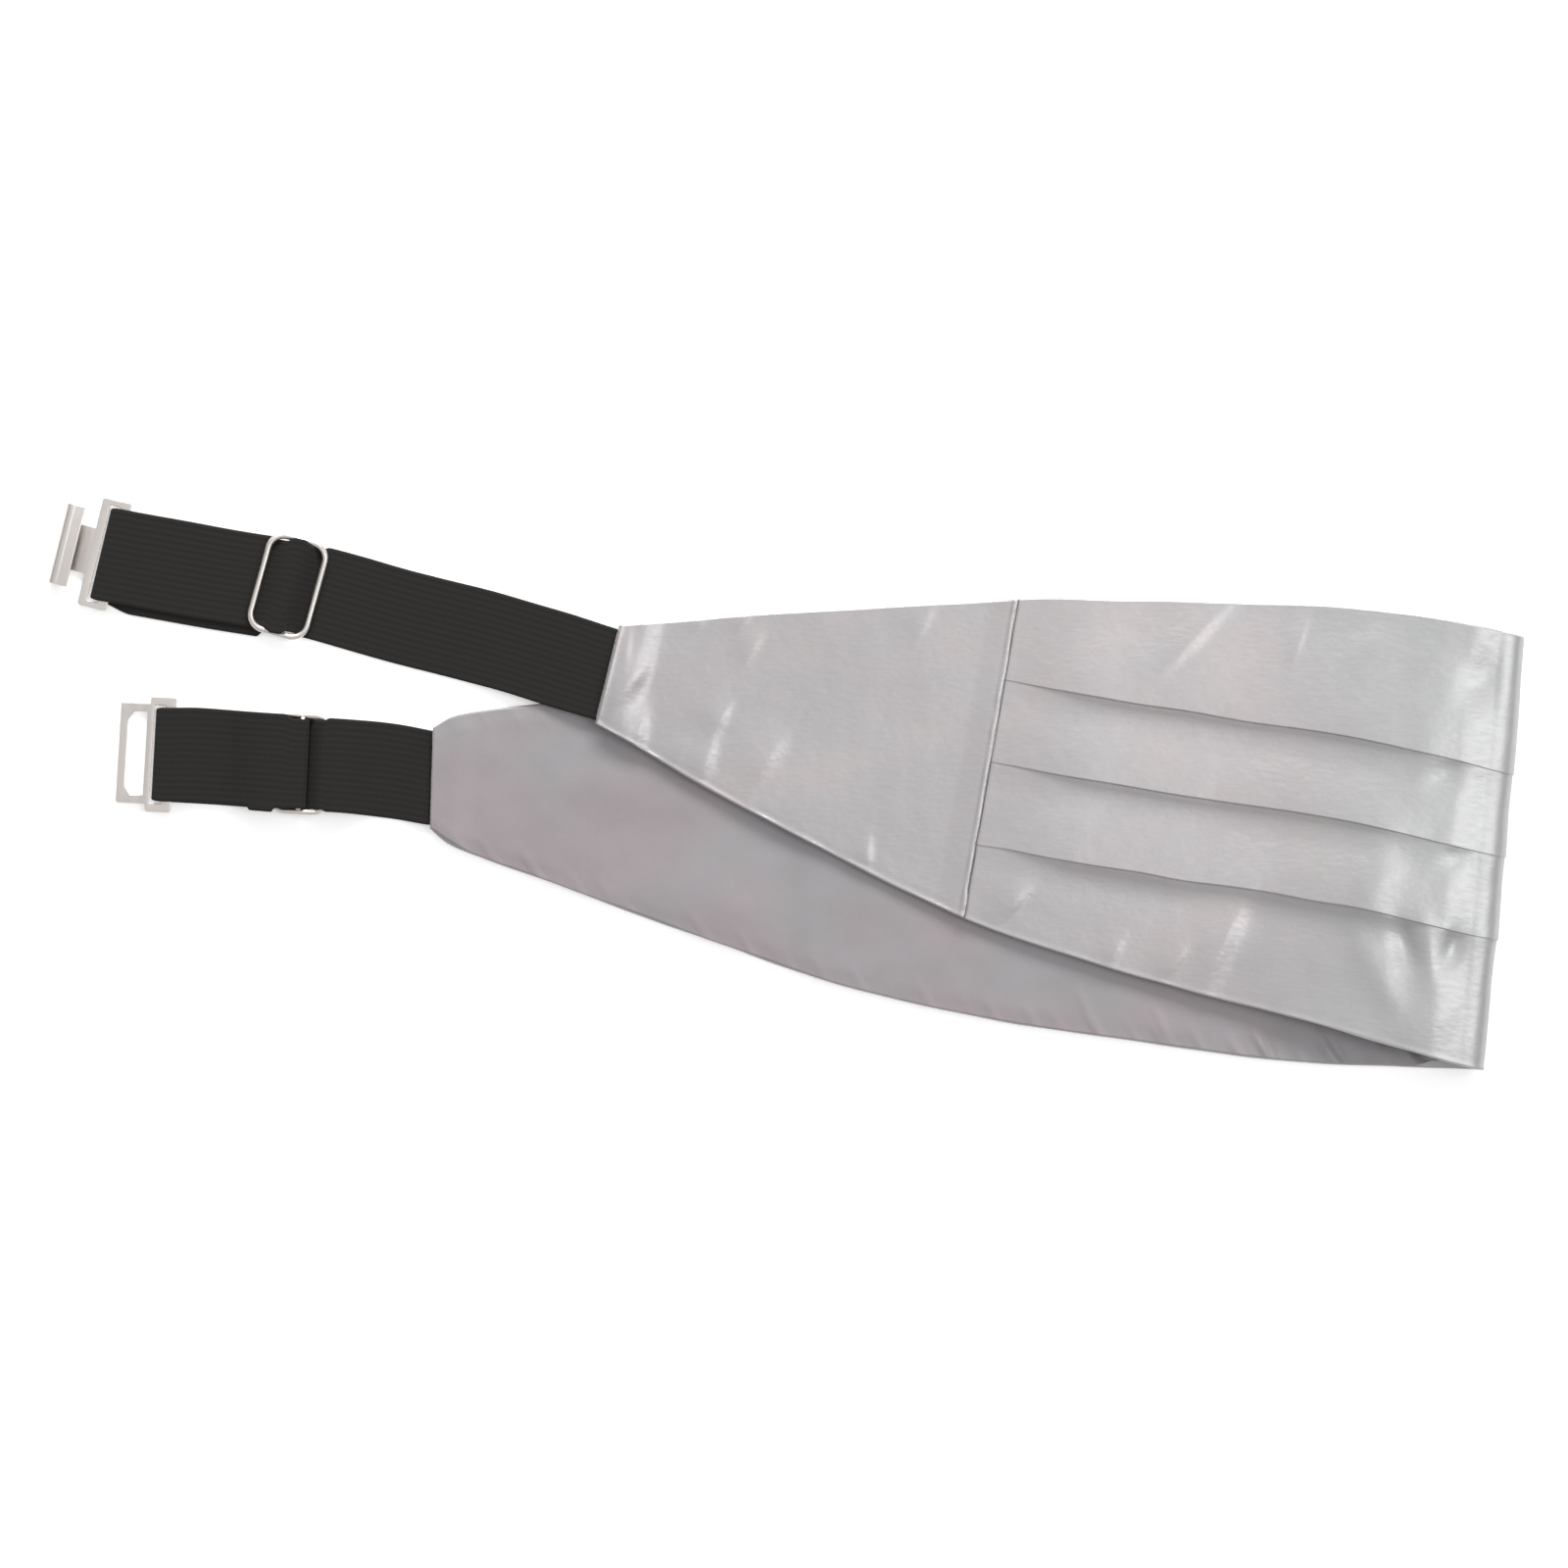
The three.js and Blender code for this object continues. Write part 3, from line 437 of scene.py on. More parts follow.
def runs(half_sign, first, last, spacing):
    """Signed distances from first to last, evenly spaced."""
    count = int(round(abs(last - first) / spacing)) + 1
    return half_sign * np.linspace(first, last, count)


def round_fold(below, above, spacing_below, spacing_above, count):
    """Signed distances from the half below to the top half, with a count of lines round the fold."""
    return np.concatenate([
        runs(-1, below, LOOP_DEPTH, spacing_below)[:-1],
        np.linspace(-LOOP_DEPTH, LOOP_DEPTH, count),
        runs(1, LOOP_DEPTH, above, spacing_above)[1:],
    ])


front_runs = round_fold(EYE["seam"] - HALF_GAP, HOOK["seam"] - HALF_GAP, 1.6, 0.62, 29)
print("cross lines of the front panel", len(front_runs))

# %% [markdown]
# A grid of points becomes a mesh here. Rows follow the cloth, columns go round its section, so the
# last column joins the first. The faces are turned outwards by the sign of the volume they enclose.
# A UV map in metres along and across lets a weave follow the cloth.

# %% From a grid to a mesh
def unit(vectors):
    """Vectors of length 1."""
    return vectors / np.linalg.norm(vectors, axis=-1, keepdims=True)


def signed_volume(points, quads):
    """Volume enclosed by quads, above 0 where they face outwards."""
    a, b, c, d = (points[quads[:, k]] for k in range(4))
    return (np.einsum("ij,ij->i", a, np.cross(b, c)) + np.einsum("ij,ij->i", a, np.cross(c, d))).sum() / 6


def ring_mesh(grid, closed=False, uv=None):
    """Vertices, quads, end caps and UV of a tube of rings, which has no caps when it is closed."""
    rows, columns = grid.shape[:2]
    index = np.arange(rows * columns).reshape(rows, columns)
    if closed:
        index = np.vstack([index, index[:1]])
    right = np.roll(index, -1, axis=1)
    quads = np.stack([index[:-1], index[1:], right[1:], right[:-1]], -1).reshape(-1, 4)
    points = grid.reshape(-1, 3)
    caps = [] if closed else [index[0], index[-1][::-1]]
    if signed_volume(points - points.mean(0), quads) < 0:
        quads, caps = quads[:, ::-1], [cap[::-1] for cap in caps]
    return points, quads, caps, None if uv is None else uv.reshape(-1, 2)


def make_piece(name, parts):
    """One smooth object at the origin from the parts that ring_mesh gives, in millimetres."""
    points, faces, maps, start = [], [], [], 0
    for vertices, quads, caps, uv in parts:
        points.append(vertices)
        faces += (start + quads).tolist() + [(start + cap).tolist() for cap in caps]
        maps.append(np.zeros((len(vertices), 2)) if uv is None else uv)
        start += len(vertices)
    mesh = bpy.data.meshes.new(name)
    mesh.from_pydata((np.concatenate(points) / 1000).tolist(), [], faces)
    corners = np.empty(len(mesh.loops), int)
    mesh.loops.foreach_get("vertex_index", corners)
    layer = mesh.uv_layers.new(name="cloth")
    layer.data.foreach_set("uv", (np.concatenate(maps)[corners] / 1000).ravel())
    mesh.polygons.foreach_set("use_smooth", [len(face) < 5 for face in faces])
    mesh.validate()
    piece = bpy.data.objects.new(name, mesh)
    bpy.context.scene.collection.objects.link(piece)
    mesh.calc_loop_triangles()
    print(name, len(mesh.loop_triangles), "triangles")
    return piece


def cloth_uv(lines, down):
    """UV in millimetres: along the cloth and down it."""
    travelled = np.broadcast_to(lines.run[:, None], down.shape)
    return np.stack([travelled, down], -1)


# %% [markdown]
# The pleated panel is one cloth. Each tier runs down to its fold edge, turns round it, goes back up
# inside and turns again into the next tier, which comes out below it. The dark line under a pleat is
# the open mouth of that fold. The section is drawn as a closed outline: upper edge, four tiers with
# three mouths, lower edge, and back along the inside.

# %% The pleated satin front
STITCH = 2.4  # length of a stitch along an edge
LIP = 0.85  # thickness of a folded pleat edge, and less where the pleat hardly stands proud

# distance from the edge, half width, height
HEM_ROLL = [(0.75, 0.45, 1), (2.2, 1.0, -0.4)]
END_ROLL = [(0.9, 0.55, 0.22), (2.6, 0.9, -0.1)]


def crowded(count):
    """Shares from 0 to 1 that crowd towards both ends."""
    return (1 - np.cos(np.linspace(0, np.pi, count))) / 2


def edge_wander(lines, seed, amount=0.3):
    """Small unevenness of a sewn or folded edge along the sash, with the scallops of its stitches."""
    slow = ripple(28, seed, lines.run)
    scallop = 0.1 * np.abs(np.sin(np.pi * lines.run / STITCH + slow)) * ripple(17, seed + 1, lines.run)
    return (amount * (slow + scallop))[:, None]


def turned_edge(inner, outer, down_at, facing, count=9):
    """Half an ellipse round a cloth edge. facing is 1 at the upper edge, which it starts inside."""
    angle = np.linspace(0, np.pi, count)[None] if facing > 0 else np.linspace(np.pi, 0, count)[None]
    down = down_at + facing * EDGE_TURN * (1 - np.sin(angle))
    out = mix(inner, outer, (1 - np.cos(angle)) / 2)
    return down, out


def pleated_section(lines):
    """Closed outline across the pleated panel as distances down and out, one row for each line, with
    the tier that each column belongs to."""
    height, step, pressed = (a[:, None] for a in (lines.height, lines.step, lines.pressed))
    base = HALF_GAP + SATIN_THICKNESS
    lip = np.minimum(LIP, 0.7 * step)
    top, bottom = edge_wander(lines, 11, 0.12), height + edge_wander(lines, 13, 0.2)
    downs, outs, tiers = [], [], []

    def add(down, out, tier):
        """Puts one stretch of the outline after the last."""
        shape = (len(lines.run), np.broadcast(down, out).shape[1])
        downs.append(np.broadcast_to(down, shape))
        outs.append(np.broadcast_to(out, shape))
        tiers.append(np.broadcast_to(tier, shape[1]))

    add(*turned_edge(HALF_GAP, base + step * pressed, top, 1), 0)
    start, edge_above = top + EDGE_TURN, None
    for pleat in range(PLEATS + 1):
        last = pleat == PLEATS
        edge = bottom if last else (
            PLEAT_CENTRE * height + (pleat - (PLEATS - 1) / 2) * PLEAT_PITCH
            + edge_wander(lines, 21 + 2 * pleat, 0.25))
        end = edge - (EDGE_TURN if last else lip / 2)
        share = crowded(34)[None, 1:]
        down = mix(start, end, share)
        rise = 0.35 * smooth(1.6 * share) * (1 - 0.5 * share) if last else (
            0.55 * share + 0.45 * smooth(1.05 * share))
        flat = 1
        if edge_above is not None:
            below = down - edge_above
            flat = smooth((below + 0.6) / 2)
            rise = rise + SAG * smooth(1 + below / MOUTH_DEPTH) * (1 - np.clip(below / SAG_REACH, 0, 1)) ** 2
        add(down, base + step * mix(rise, flat, pressed), pleat)
        if last:
            break
        turn = np.linspace(np.pi / 2, -np.pi / 2, 9)[None, 1:]
        crest = base + step
        add(end + lip / 2 * np.cos(turn), crest - lip / 2 + lip / 2 * np.sin(turn), pleat)
        back = np.linspace(0, 1, 7)[None, 1:]
        mouth = edge - MOUTH_DEPTH
        add(mix(end, mouth, back), mix(crest - lip, base + 0.03, back), pleat + back[0])
        start, edge_above = mouth, edge
    add(*turned_edge(HALF_GAP, base + step * mix(0.175, 1, pressed), bottom, -1), PLEATS)
    inside = np.linspace(1, 0, 30)[None, 1:-1]
    add(mix(top + EDGE_TURN, bottom - EDGE_TURN, inside), np.full_like(inside, HALF_GAP), PLEATS + 9)
    return np.concatenate(downs, 1), np.concatenate(outs, 1), np.concatenate(tiers)


def rolled(rows, distance):
    """Height of a sewn edge's rolls and grooves at a distance from it, each a bell curve."""
    return sum(height * np.exp(-((distance - at) / width) ** 2) for at, width, height in rows)


def edge_bead(lines, down, height):
    """The hem's roll beside the lower edge, with the groove that its stitches pull above it."""
    uneven = 0.75 + 0.35 * ripple(12, 17, lines.run)[:, None]
    return height * uneven * rolled(HEM_ROLL, lines.height[:, None] - down) * (1 - lines.pressed[:, None])


def seam_roll(lines, ends, reach, drop=0.9):
    """Share of the thickness left beside a sewn end, falling off in a quarter circle."""
    left = np.ones(len(lines.run))
    for end in ends:
        t = np.clip(1 - np.abs(lines.run - end) / reach, 0, 1)
        left *= np.sqrt(1 - drop * t**2)
    return left[:, None]


front_lines = CrossLines(front_runs)
front_down, front_out, front_tiers = pleated_section(front_lines)
thin = seam_roll(front_lines, [HOOK["seam"] - HALF_GAP, -EYE["seam"] + HALF_GAP], 0.25, 0.3)
front_out = front_out + edge_bead(front_lines, front_down, 0.14) * (front_out > HALF_GAP + 0.7)
front_out = HALF_GAP + (front_out - HALF_GAP) * thin + front_lines.relief(front_down, front_tiers)
front_grid = front_lines.points(front_down, front_out)
satin_front = make_piece("satin_front", [ring_mesh(front_grid, uv=cloth_uv(front_lines, front_down))])

# %% [markdown]
# A side panel is plain, so its section is an outline with two turned edges. Along the seam the satin
# is rolled into a thin ridge, which catches the light unevenly, because the stitches pull at it. At
# its far end it is turned in over the elastic.

# %% The plain satin sides
RIDGE_WIDTH = 1.6
RIDGE_HEIGHT = 0.5
END_WIDTH = 1.4  # of the strip with finer cross lines at the far end
END_STITCH = 1.9


def plain_section(lines, inner, outer, inset=0, seeds=(11, 13), count=64, raised=0):
    """Closed outline of a plain layer: its outer face, lower edge, inner face and upper edge.
    Raised is how much higher than the inset the lower edge lies."""
    height = lines.height[:, None]
    top = inset + edge_wander(lines, seeds[0], 0.12)
    bottom = height - inset - raised + edge_wander(lines, seeds[1], 0.2)
    share = crowded(count)[None, 1:-1]
    upper = turned_edge(inner, outer, top, 1)
    lower = turned_edge(inner, outer, bottom, -1)
    face = mix(top + EDGE_TURN, bottom - EDGE_TURN, share)
    rows = (len(lines.run), 1)
    downs = [upper[0], face, lower[0], face[:, ::4][:, ::-1]]
    outs = [upper[1], outer + 0 * face, lower[1], inner + 0 * face[:, ::4]]
    return np.concatenate(downs, 1), np.concatenate([out + np.zeros(rows) for out in outs], 1)


def end_stitches(down, from_end):
    """Fine scallops of the turned-in end, where each stitch pulls the cloth in."""
    return -0.22 * np.abs(np.sin(np.pi * down / END_STITCH)) * smooth(1 - from_end / 1.6)


def side_panel(name, half, sign):
    """The plain panel between the seam and the elastic."""
    seam, end = half["seam"] + HALF_GAP, half["length"]
    distances = np.concatenate([
        np.linspace(seam, seam + RIDGE_WIDTH, 12)[:-1],
        np.linspace(seam + RIDGE_WIDTH, end - END_WIDTH, 185 if sign > 0 else 90),
        np.linspace(end - END_WIDTH, end, 9)[1:],
    ])
    lines = CrossLines(sign * distances)
    beside = np.clip((distances - seam) / RIDGE_WIDTH, 0, 1)
    outer = HALF_GAP + SATIN_THICKNESS + lines.step[:, None]
    down, out = plain_section(lines, HALF_GAP, outer)
    uneven = 0.62 + ripples(RIDGE_RIPPLES, down)
    ridge = RIDGE_HEIGHT * np.sin(np.pi * mix(0.14, 1, beside))[:, None] * (beside < 1)[:, None]
    outside = out > HALF_GAP + 0.5
    from_end = end - distances[:, None]
    rolls = ridge * uneven + rolled(END_ROLL, from_end)
    out = out + outside * (rolls * (1 - lines.pressed[:, None]) + edge_bead(lines, down, 0.24))
    thin = seam_roll(lines, [sign * end], 1.2)
    out = HALF_GAP + (out - HALF_GAP) * thin + lines.relief(down)
    over_seam = 0.22 * (1 - smooth(3 * beside[:, None])) * outside
    wavy = ripples(SEAM_RIPPLES, down) * (1 - beside[:, None])
    wobble = (wavy - over_seam) * (sign > 0) + end_stitches(down, from_end)
    grid = lines.points(down, out)
    grid[..., :2] += lines.away[:, None] * wobble[..., None]
    return make_piece(name, [ring_mesh(grid, uv=cloth_uv(lines, down))])


satin_side_hook = side_panel("satin_side_hook", HOOK, 1)
satin_side_eye = side_panel("satin_side_eye", EYE, -1)

# %% [markdown]
# The lining is one thin layer from one elastic to the other. On the half below it lies face up. It is
# a little slack, so it shows soft waves and small oblique puckers by the stitched edge.

# %% The lining
HEM_BY_FOLD, HEM_BY_END = 2.3, 1.1  # how much higher the lower hem lies there
PUCKER_REACH = 10  # from the edge
PUCKERS_GROW = (60, 90)  # x from which they grow towards the fold, and over which length

lining_runs = round_fold(EYE["length"], HOOK["length"], 0.75, 1.9, 21)
lining_lines = CrossLines(lining_runs)
pockets = np.where(lining_runs > 0, pocket_at(HOOK, lining_lines.distance),
                   pocket_at(EYE, lining_lines.distance))
satin_side_face = -HALF_GAP - pockets[:, None]
body_side_face = satin_side_face - LINING_THICKNESS
hem = (HEM_BY_FOLD * ramp(lining_runs, -21, 7) * (1 - ramp(lining_runs, -4, 8))
       + HEM_BY_END * (1 - smooth(np.abs(lining_runs + EYE["length"] - 6) / 9)))[:, None]
lining_down, lining_out = plain_section(
    lining_lines, satin_side_face, body_side_face, LINING_INSET, (41, 43), raised=hem)
lining_x, lining_y = np.moveaxis(lining_lines.plan(lining_down), -1, 0)
from_edge = np.minimum(lining_down, lining_lines.height[:, None] - lining_down)
gathers = np.maximum(ripple(7, 44, lining_x + 0.55 * lining_y, 0.2 * lining_y), 0)
puckers = smooth(1 - from_edge / PUCKER_REACH) * gathers * mix(0.3, 0.8, ramp(lining_x, *PUCKERS_GROW))
waves = smooth(from_edge / 6) * (ripples(LINING_RIPPLES, lining_x, lining_y) + 0.3)
shown = (lining_out < satin_side_face - LINING_THICKNESS / 2) * (lining_runs < 0)[:, None]
lift = shown * (waves + puckers + humps(LINING_CREASES, lining_x, lining_y))
lift = lift * (1 - ramp(lining_runs[:, None], -15, 8))
lining_out = lining_out - lift + lining_lines.relief(lining_down)
lining_grid = lining_lines.points(lining_down, lining_out)
lining_ends = end_stitches(lining_down, np.where(lining_runs > 0, HOOK["length"] - lining_runs,
                                                 EYE["length"] + lining_runs)[:, None])
lining_grid[..., :2] += lining_lines.away[:, None] * lining_ends[..., None]
lining_cloth = make_piece("lining_cloth", [ring_mesh(lining_grid, uv=cloth_uv(lining_lines, lining_down))])

# %% [markdown]
# Elastic webbing is woven with rubber threads along it, which shows as fine ribs. Each elastic comes
# out of the satin, goes over the slider's centre bar, on to the clasp, round its bar and back to the
# slider, where its end is sewn round the centre bar. Its route is a line in the plane along it and
# upwards, and the ribbed section is carried along that route.

# %% Route of an elastic
WIRE = 1.0
SLIDER_WIDTH = 20.5
SLIDER_OVERHANG = 1.35
BAR_SPACING = SLIDER_WIDTH - 2 * WIRE
HUMP = 7.5
PLATE = 1.0
SINGLE = ELASTIC_THICKNESS / 2
DOUBLE = SINGLE + LAYER_PITCH
NEAR_BAR = LAYER_PITCH + WIRE
FAR_BAR = 2 * LAYER_PITCH + WIRE
CENTRE_BAR = (NEAR_BAR + FAR_BAR) / 2
WRAP = WIRE + LAYER_GAP + ELASTIC_THICKNESS / 2
HUMP_LEVEL = CENTRE_BAR + WRAP + LAYER_PITCH + 0.25
PLATE_LEVEL = LAYER_PITCH + PLATE / 2
OVER_PLATE = LAYER_PITCH + PLATE + LAYER_GAP + ELASTIC_THICKNESS / 2
TURN_RADIUS = (OVER_PLATE - SINGLE) / 2
TURN_CENTRE = TURN_RADIUS + ELASTIC_THICKNESS / 2
LEVEL_START = 1.5  # distance from the satin at which an elastic leaves the satin's level
OVER_BODY = 24  # distance over which it lies on the half below
STRAP_DROP = 24  # and over which it comes down from there
SLIDER_SLOPE = (BAR_SPACING / 2 + 1.3, 15.5)  # from the centre bar: start and length of the slope down


def plain_level(strap, along):
    """Level of the outer layer without its hump over the slider."""
    doubled = mix(SINGLE, DOUBLE, ramp(along, strap["slider"] - HUMP / 2, HUMP))
    return mix(doubled, OVER_PLATE, ramp(along, strap["length"] - 2 * HUMP, HUMP))


def strap_lift(strap, along):
    """Height of level zero above the surface."""
    if strap["outside_up"]:
        on_body = lower_level(HOOK["length"]) + HALF_GAP + LINING_THICKNESS + LAYER_GAP
        at_satin = upper_level(HOOK["length"]) - HALF_GAP - ELASTIC_THICKNESS
        lowering = mix(at_satin, on_body, ramp(along, LEVEL_START, OVER_BODY))
        return lowering * (1 - ramp(along, OVER_BODY, STRAP_DROP))
    raised = 1 - ramp(np.abs(along - strap["slider"]), *SLIDER_SLOPE)
    on_surface = mix(plain_level(strap, along), HUMP_LEVEL, raised) + ELASTIC_THICKNESS / 2
    return on_surface + (SATIN_THICKNESS + LAYER_GAP) * (1 - ramp(along, LEVEL_START, HUMP))


def strap_route(strap, spacing=0.66):
    """Distance from the satin, height and layer of evenly spaced points along the route.
    The layer is 0 on the way out and 1 on the way back."""
    last = strap["length"] - TURN_CENTRE
    out = np.arange(-TUCK, last, 0.4)
    hump = np.clip((out - strap["slider"]) / HUMP, -1, 1)
    out_level = mix(plain_level(strap, out), HUMP_LEVEL, (1 + np.cos(np.pi * hump)) / 2)
    bend = np.linspace(0, np.pi, 17)
    back = np.arange(last - 0.8, strap["slider"] + 1.2, -0.4)
    back_level = mix(CENTRE_BAR - WRAP, SINGLE, smooth((back - strap["slider"]) / HUMP))
    wrap = 1.5 * np.pi * np.linspace(0, 1, 21)
    along = np.concatenate([out, last + TURN_RADIUS * np.sin(bend), back,
                            strap["slider"] - WRAP * np.sin(wrap)])
    level = np.concatenate([out_level, SINGLE + TURN_RADIUS * (1 + np.cos(bend)), back_level,
                            CENTRE_BAR - WRAP * np.cos(wrap)])
    returning = np.concatenate([0 * out, bend / np.pi, 1 + 0 * back, 1 + 0 * wrap])
    height = strap_lift(strap, along) + (level if strap["outside_up"] else -level)
    travelled = np.concatenate([[0], np.cumsum(np.hypot(np.diff(along), np.diff(height)))])
    even = np.linspace(0, travelled[-1], int(travelled[-1] / spacing))
    return tuple(np.interp(even, travelled, values) for values in (along, height, returning)) + (even,)


def strap_across(strap, along):
    """Direction across an elastic, turned with its slider and its clasp."""
    at_slider = 1 - ramp(np.abs(along - strap["slider"]), SLIDER_WIDTH / 2, SLIDER_WIDTH)
    at_clasp = ramp(along, strap["length"] - 1.5 * SLIDER_WIDTH, SLIDER_WIDTH)
    angle = strap_bearing(strap, along) + strap["slider_turn"] * at_slider + strap["clasp_turn"] * at_clasp
    return np.stack([np.sin(angle), np.cos(angle)], -1)


print("routes", [round(float(strap_route(strap)[3][-1])) for strap in (HOOK_STRAP, EYE_STRAP)], "mm")

# %% [markdown]
# The section has a rib every two millimetres on both faces and rounded selvedges. Between the slider's
# side bars the elastic is squeezed a little narrower. On the hook side the layer below has slipped
# sideways, so its edge peeks out.

# %% The ribbed elastics
RIBS = 15
RIB_DEPTH = 0.028
ROUND_CORNER = 3.4  # length over which the bend at the clasp narrows
CORNER_INSET = 2.2  # how much narrower it gets
SEWN_END = (7, 1.2), (15, 1.5)  # where the return layer's end begins and stops, each start and length
BULGE = 1.2  # how much wider the elastic gets on top of the centre bar
BULGE_FADE = (1.6, 1.9)  # from the centre bar, start and length
GRIP, GRIP_BACK, GRIP_FADE = 7, 3, 2  # half the squeezed length on the way out and back, and its fade
SLIP_BY_CLASP, SLIP_BY_SLIDER = (2, 12), (3.5, 2.5)  # where the layer begins to slip, and over which


def ribbed_section(points_per_rib=6):
    """Closed outline of the webbing: place across from -1 to 1, and share of the thickness."""
    across = np.linspace(-1, 1, RIBS * points_per_rib + 1)
    edge = np.sqrt(np.clip(1 - np.clip((np.abs(across) - 0.965) / 0.035, 0, 1) ** 2, 0.02, 1))
    rib = RIB_DEPTH * (np.abs(np.cos(np.pi * RIBS * across / 2)) - 1)
    face = (ELASTIC_THICKNESS / 2 + rib) * edge
    return np.concatenate([across, across[::-1]]), np.concatenate([face, -face[::-1]])


def make_elastic(name, strap):
    """The webbing carried along its route."""
    along, height, returning, travelled = strap_route(strap)
    run, rise = np.gradient(along), np.gradient(height)
    length = np.hypot(run, rise)
    place, face = ribbed_section()
    from_slider = along - strap["slider"]
    beside = np.abs(from_slider)
    over_bar = (1 - ramp(beside, *BULGE_FADE)) * (returning == 0)
    gripped = np.where(returning > 0.99, GRIP_BACK, GRIP)
    near_slider = (1 - ramp(beside, gripped, GRIP_FADE)) * (1 - over_bar)
    squeezed = ELASTIC_WIDTH + 2 * (SLIDER_OVERHANG - 2 * WIRE - 0.1)
    uneven = 0.16 * ripple(24, 51, travelled)
    width = mix(ELASTIC_WIDTH, squeezed, near_slider) + BULGE * over_bar + uneven
    free = ramp(strap["length"] - along, *SLIP_BY_CLASP) * ramp(from_slider, *SLIP_BY_SLIDER)
    slip = strap["peek"] * returning * free
    across = strap_across(strap, along)
    offset = -face[None] * (rise / length)[:, None]
    middle = strap_middle(strap, along[:, None] + offset)
    corner = np.clip((along - strap["length"] + 3) / ROUND_CORNER, 0, 1)
    width = width - CORNER_INSET * (1 - np.sqrt(1 - corner**2))
    begun, ended = (ramp(from_slider, *stretch) for stretch in SEWN_END)
    sewn_end = begun * (1 - ended) * (returning > 0.99)
    tail = strap["tail"] * sewn_end[:, None] * ramp(-place[None], 0.9, 0.05)
    side = place[None] * width[:, None] / 2 + slip[:, None] - tail
    xy = ORIGIN + middle + across[:, None] * side[..., None]
    z = height[:, None] + face[None] * (run / length)[:, None]
    grid = np.concatenate([xy, z[..., None]], -1)
    uv = np.stack(np.broadcast_arrays(travelled[:, None], place[None] * ELASTIC_WIDTH / 2), -1)
    piece = make_piece(name, [ring_mesh(grid, uv=uv)])
    piece["cut_length"] = float(travelled[-1]) / 1000
    return piece


elastic_band_hook = make_elastic("elastic_band_hook", HOOK_STRAP)
elastic_band_eye = make_elastic("elastic_band_eye", EYE_STRAP)

# %% [markdown]
# Each slider is nickel-plated wire bent to a rounded rectangle, with a bar across its middle. A circle
# carried along a rounded rectangle makes the ring, and a tube makes the bar.

# %% The wire sliders
CORNER_RADIUS = 5


def place_on_strap(points, strap, along, turn, z, tilt=0):
    """Turns points from the piece's own axes, X along the elastic, to where it lies."""
    x = points[..., 0] * math.cos(tilt) - points[..., 2] * math.sin(tilt)
    up = points[..., 0] * math.sin(tilt) + points[..., 2] * math.cos(tilt)
    angle = math.pi - float(strap_bearing(strap, along)) - turn
    c, s = math.cos(angle), math.sin(angle)
    at = ORIGIN + strap_middle(strap, along)
    return np.stack([at[0] + c * x - s * points[..., 1], at[1] + s * x + c * points[..., 1], z + up], -1)


def rounded_rectangle(x0, x1, half_width, radius, steps=12, straight=6):
    """Points round a rectangle, and the outward direction at each. Every corner is a quarter circle,
    and a straight side goes on from its last point to the first of the next corner."""
    angle = np.radians(np.array([[0], [90], [180], [270]]) + np.linspace(0, 90, steps))
    outward = np.stack([np.cos(angle), np.sin(angle)], -1)
    x, y = np.array([x1, x0, x0, x1]), half_width * np.array([1, 1, -1, -1])
    centre = np.stack([x - np.copysign(radius, x - (x0 + x1) / 2), y - np.copysign(radius, y)], -1)
    corners = centre[:, None] + radius * outward
    share = np.linspace(0, 1, straight + 2)[1:-1, None]
    sides = mix(corners[:, -1:], np.roll(corners[:, :1], -1, axis=0), share)
    points = np.concatenate([corners, sides], 1)
    outward = np.concatenate([outward, np.repeat(outward[:, -1:], straight, axis=1)], 1)
    return points.reshape(-1, 2), outward.reshape(-1, 2)


def wire_slider(name, strap):
    """The ring and its centre bar, tilted as the passing elastic tilts it."""
    half_across = ELASTIC_WIDTH / 2 + SLIDER_OVERHANG - WIRE
    path, outward = rounded_rectangle(-BAR_SPACING / 2, BAR_SPACING / 2, half_across, CORNER_RADIUS)
    around = np.linspace(0, 2 * np.pi, 20, endpoint=False)
    wide, high = WIRE * np.cos(around), WIRE * np.sin(around)
    ring = np.concatenate([
        path[:, None] + wide[:, None] * outward[:, None],
        np.broadcast_to(high[:, None], (len(path), len(high), 1)),
    ], -1)
    y = np.linspace(-half_across, half_across, 12)
    bar = np.stack(np.broadcast_arrays(wide, y[:, None], high), -1)
    tilt = math.atan2(FAR_BAR - NEAR_BAR, BAR_SPACING) * (1 if strap["outside_up"] else -1)
    level = CENTRE_BAR if strap["outside_up"] else -CENTRE_BAR
    z = float(strap_lift(strap, strap["slider"])) + level
    parts = [ring_mesh(place_on_strap(part, strap, strap["slider"], strap["slider_turn"], z, tilt), closed)
             for part, closed in ((ring, True), (bar, False))]
    return make_piece(name, parts)


slider_wire_hook = wire_slider("slider_wire_hook", HOOK_STRAP)
slider_wire_eye = wire_slider("slider_wire_eye", EYE_STRAP)

# %% [markdown]
# The clasps are pressed from sheet metal. A frame with a slot takes the elastic; a neck leads to a
# sheet rolled into a hook, or the plate goes on into the flat loop that the hook goes through. A frame
# is a section carried round its slot, and a bent strip is a section carried along its bends. Both
# sections have rounded edges, because stamped parts are tumbled before they are plated.

# %% Pressed metal shapes
EDGE = 0.22


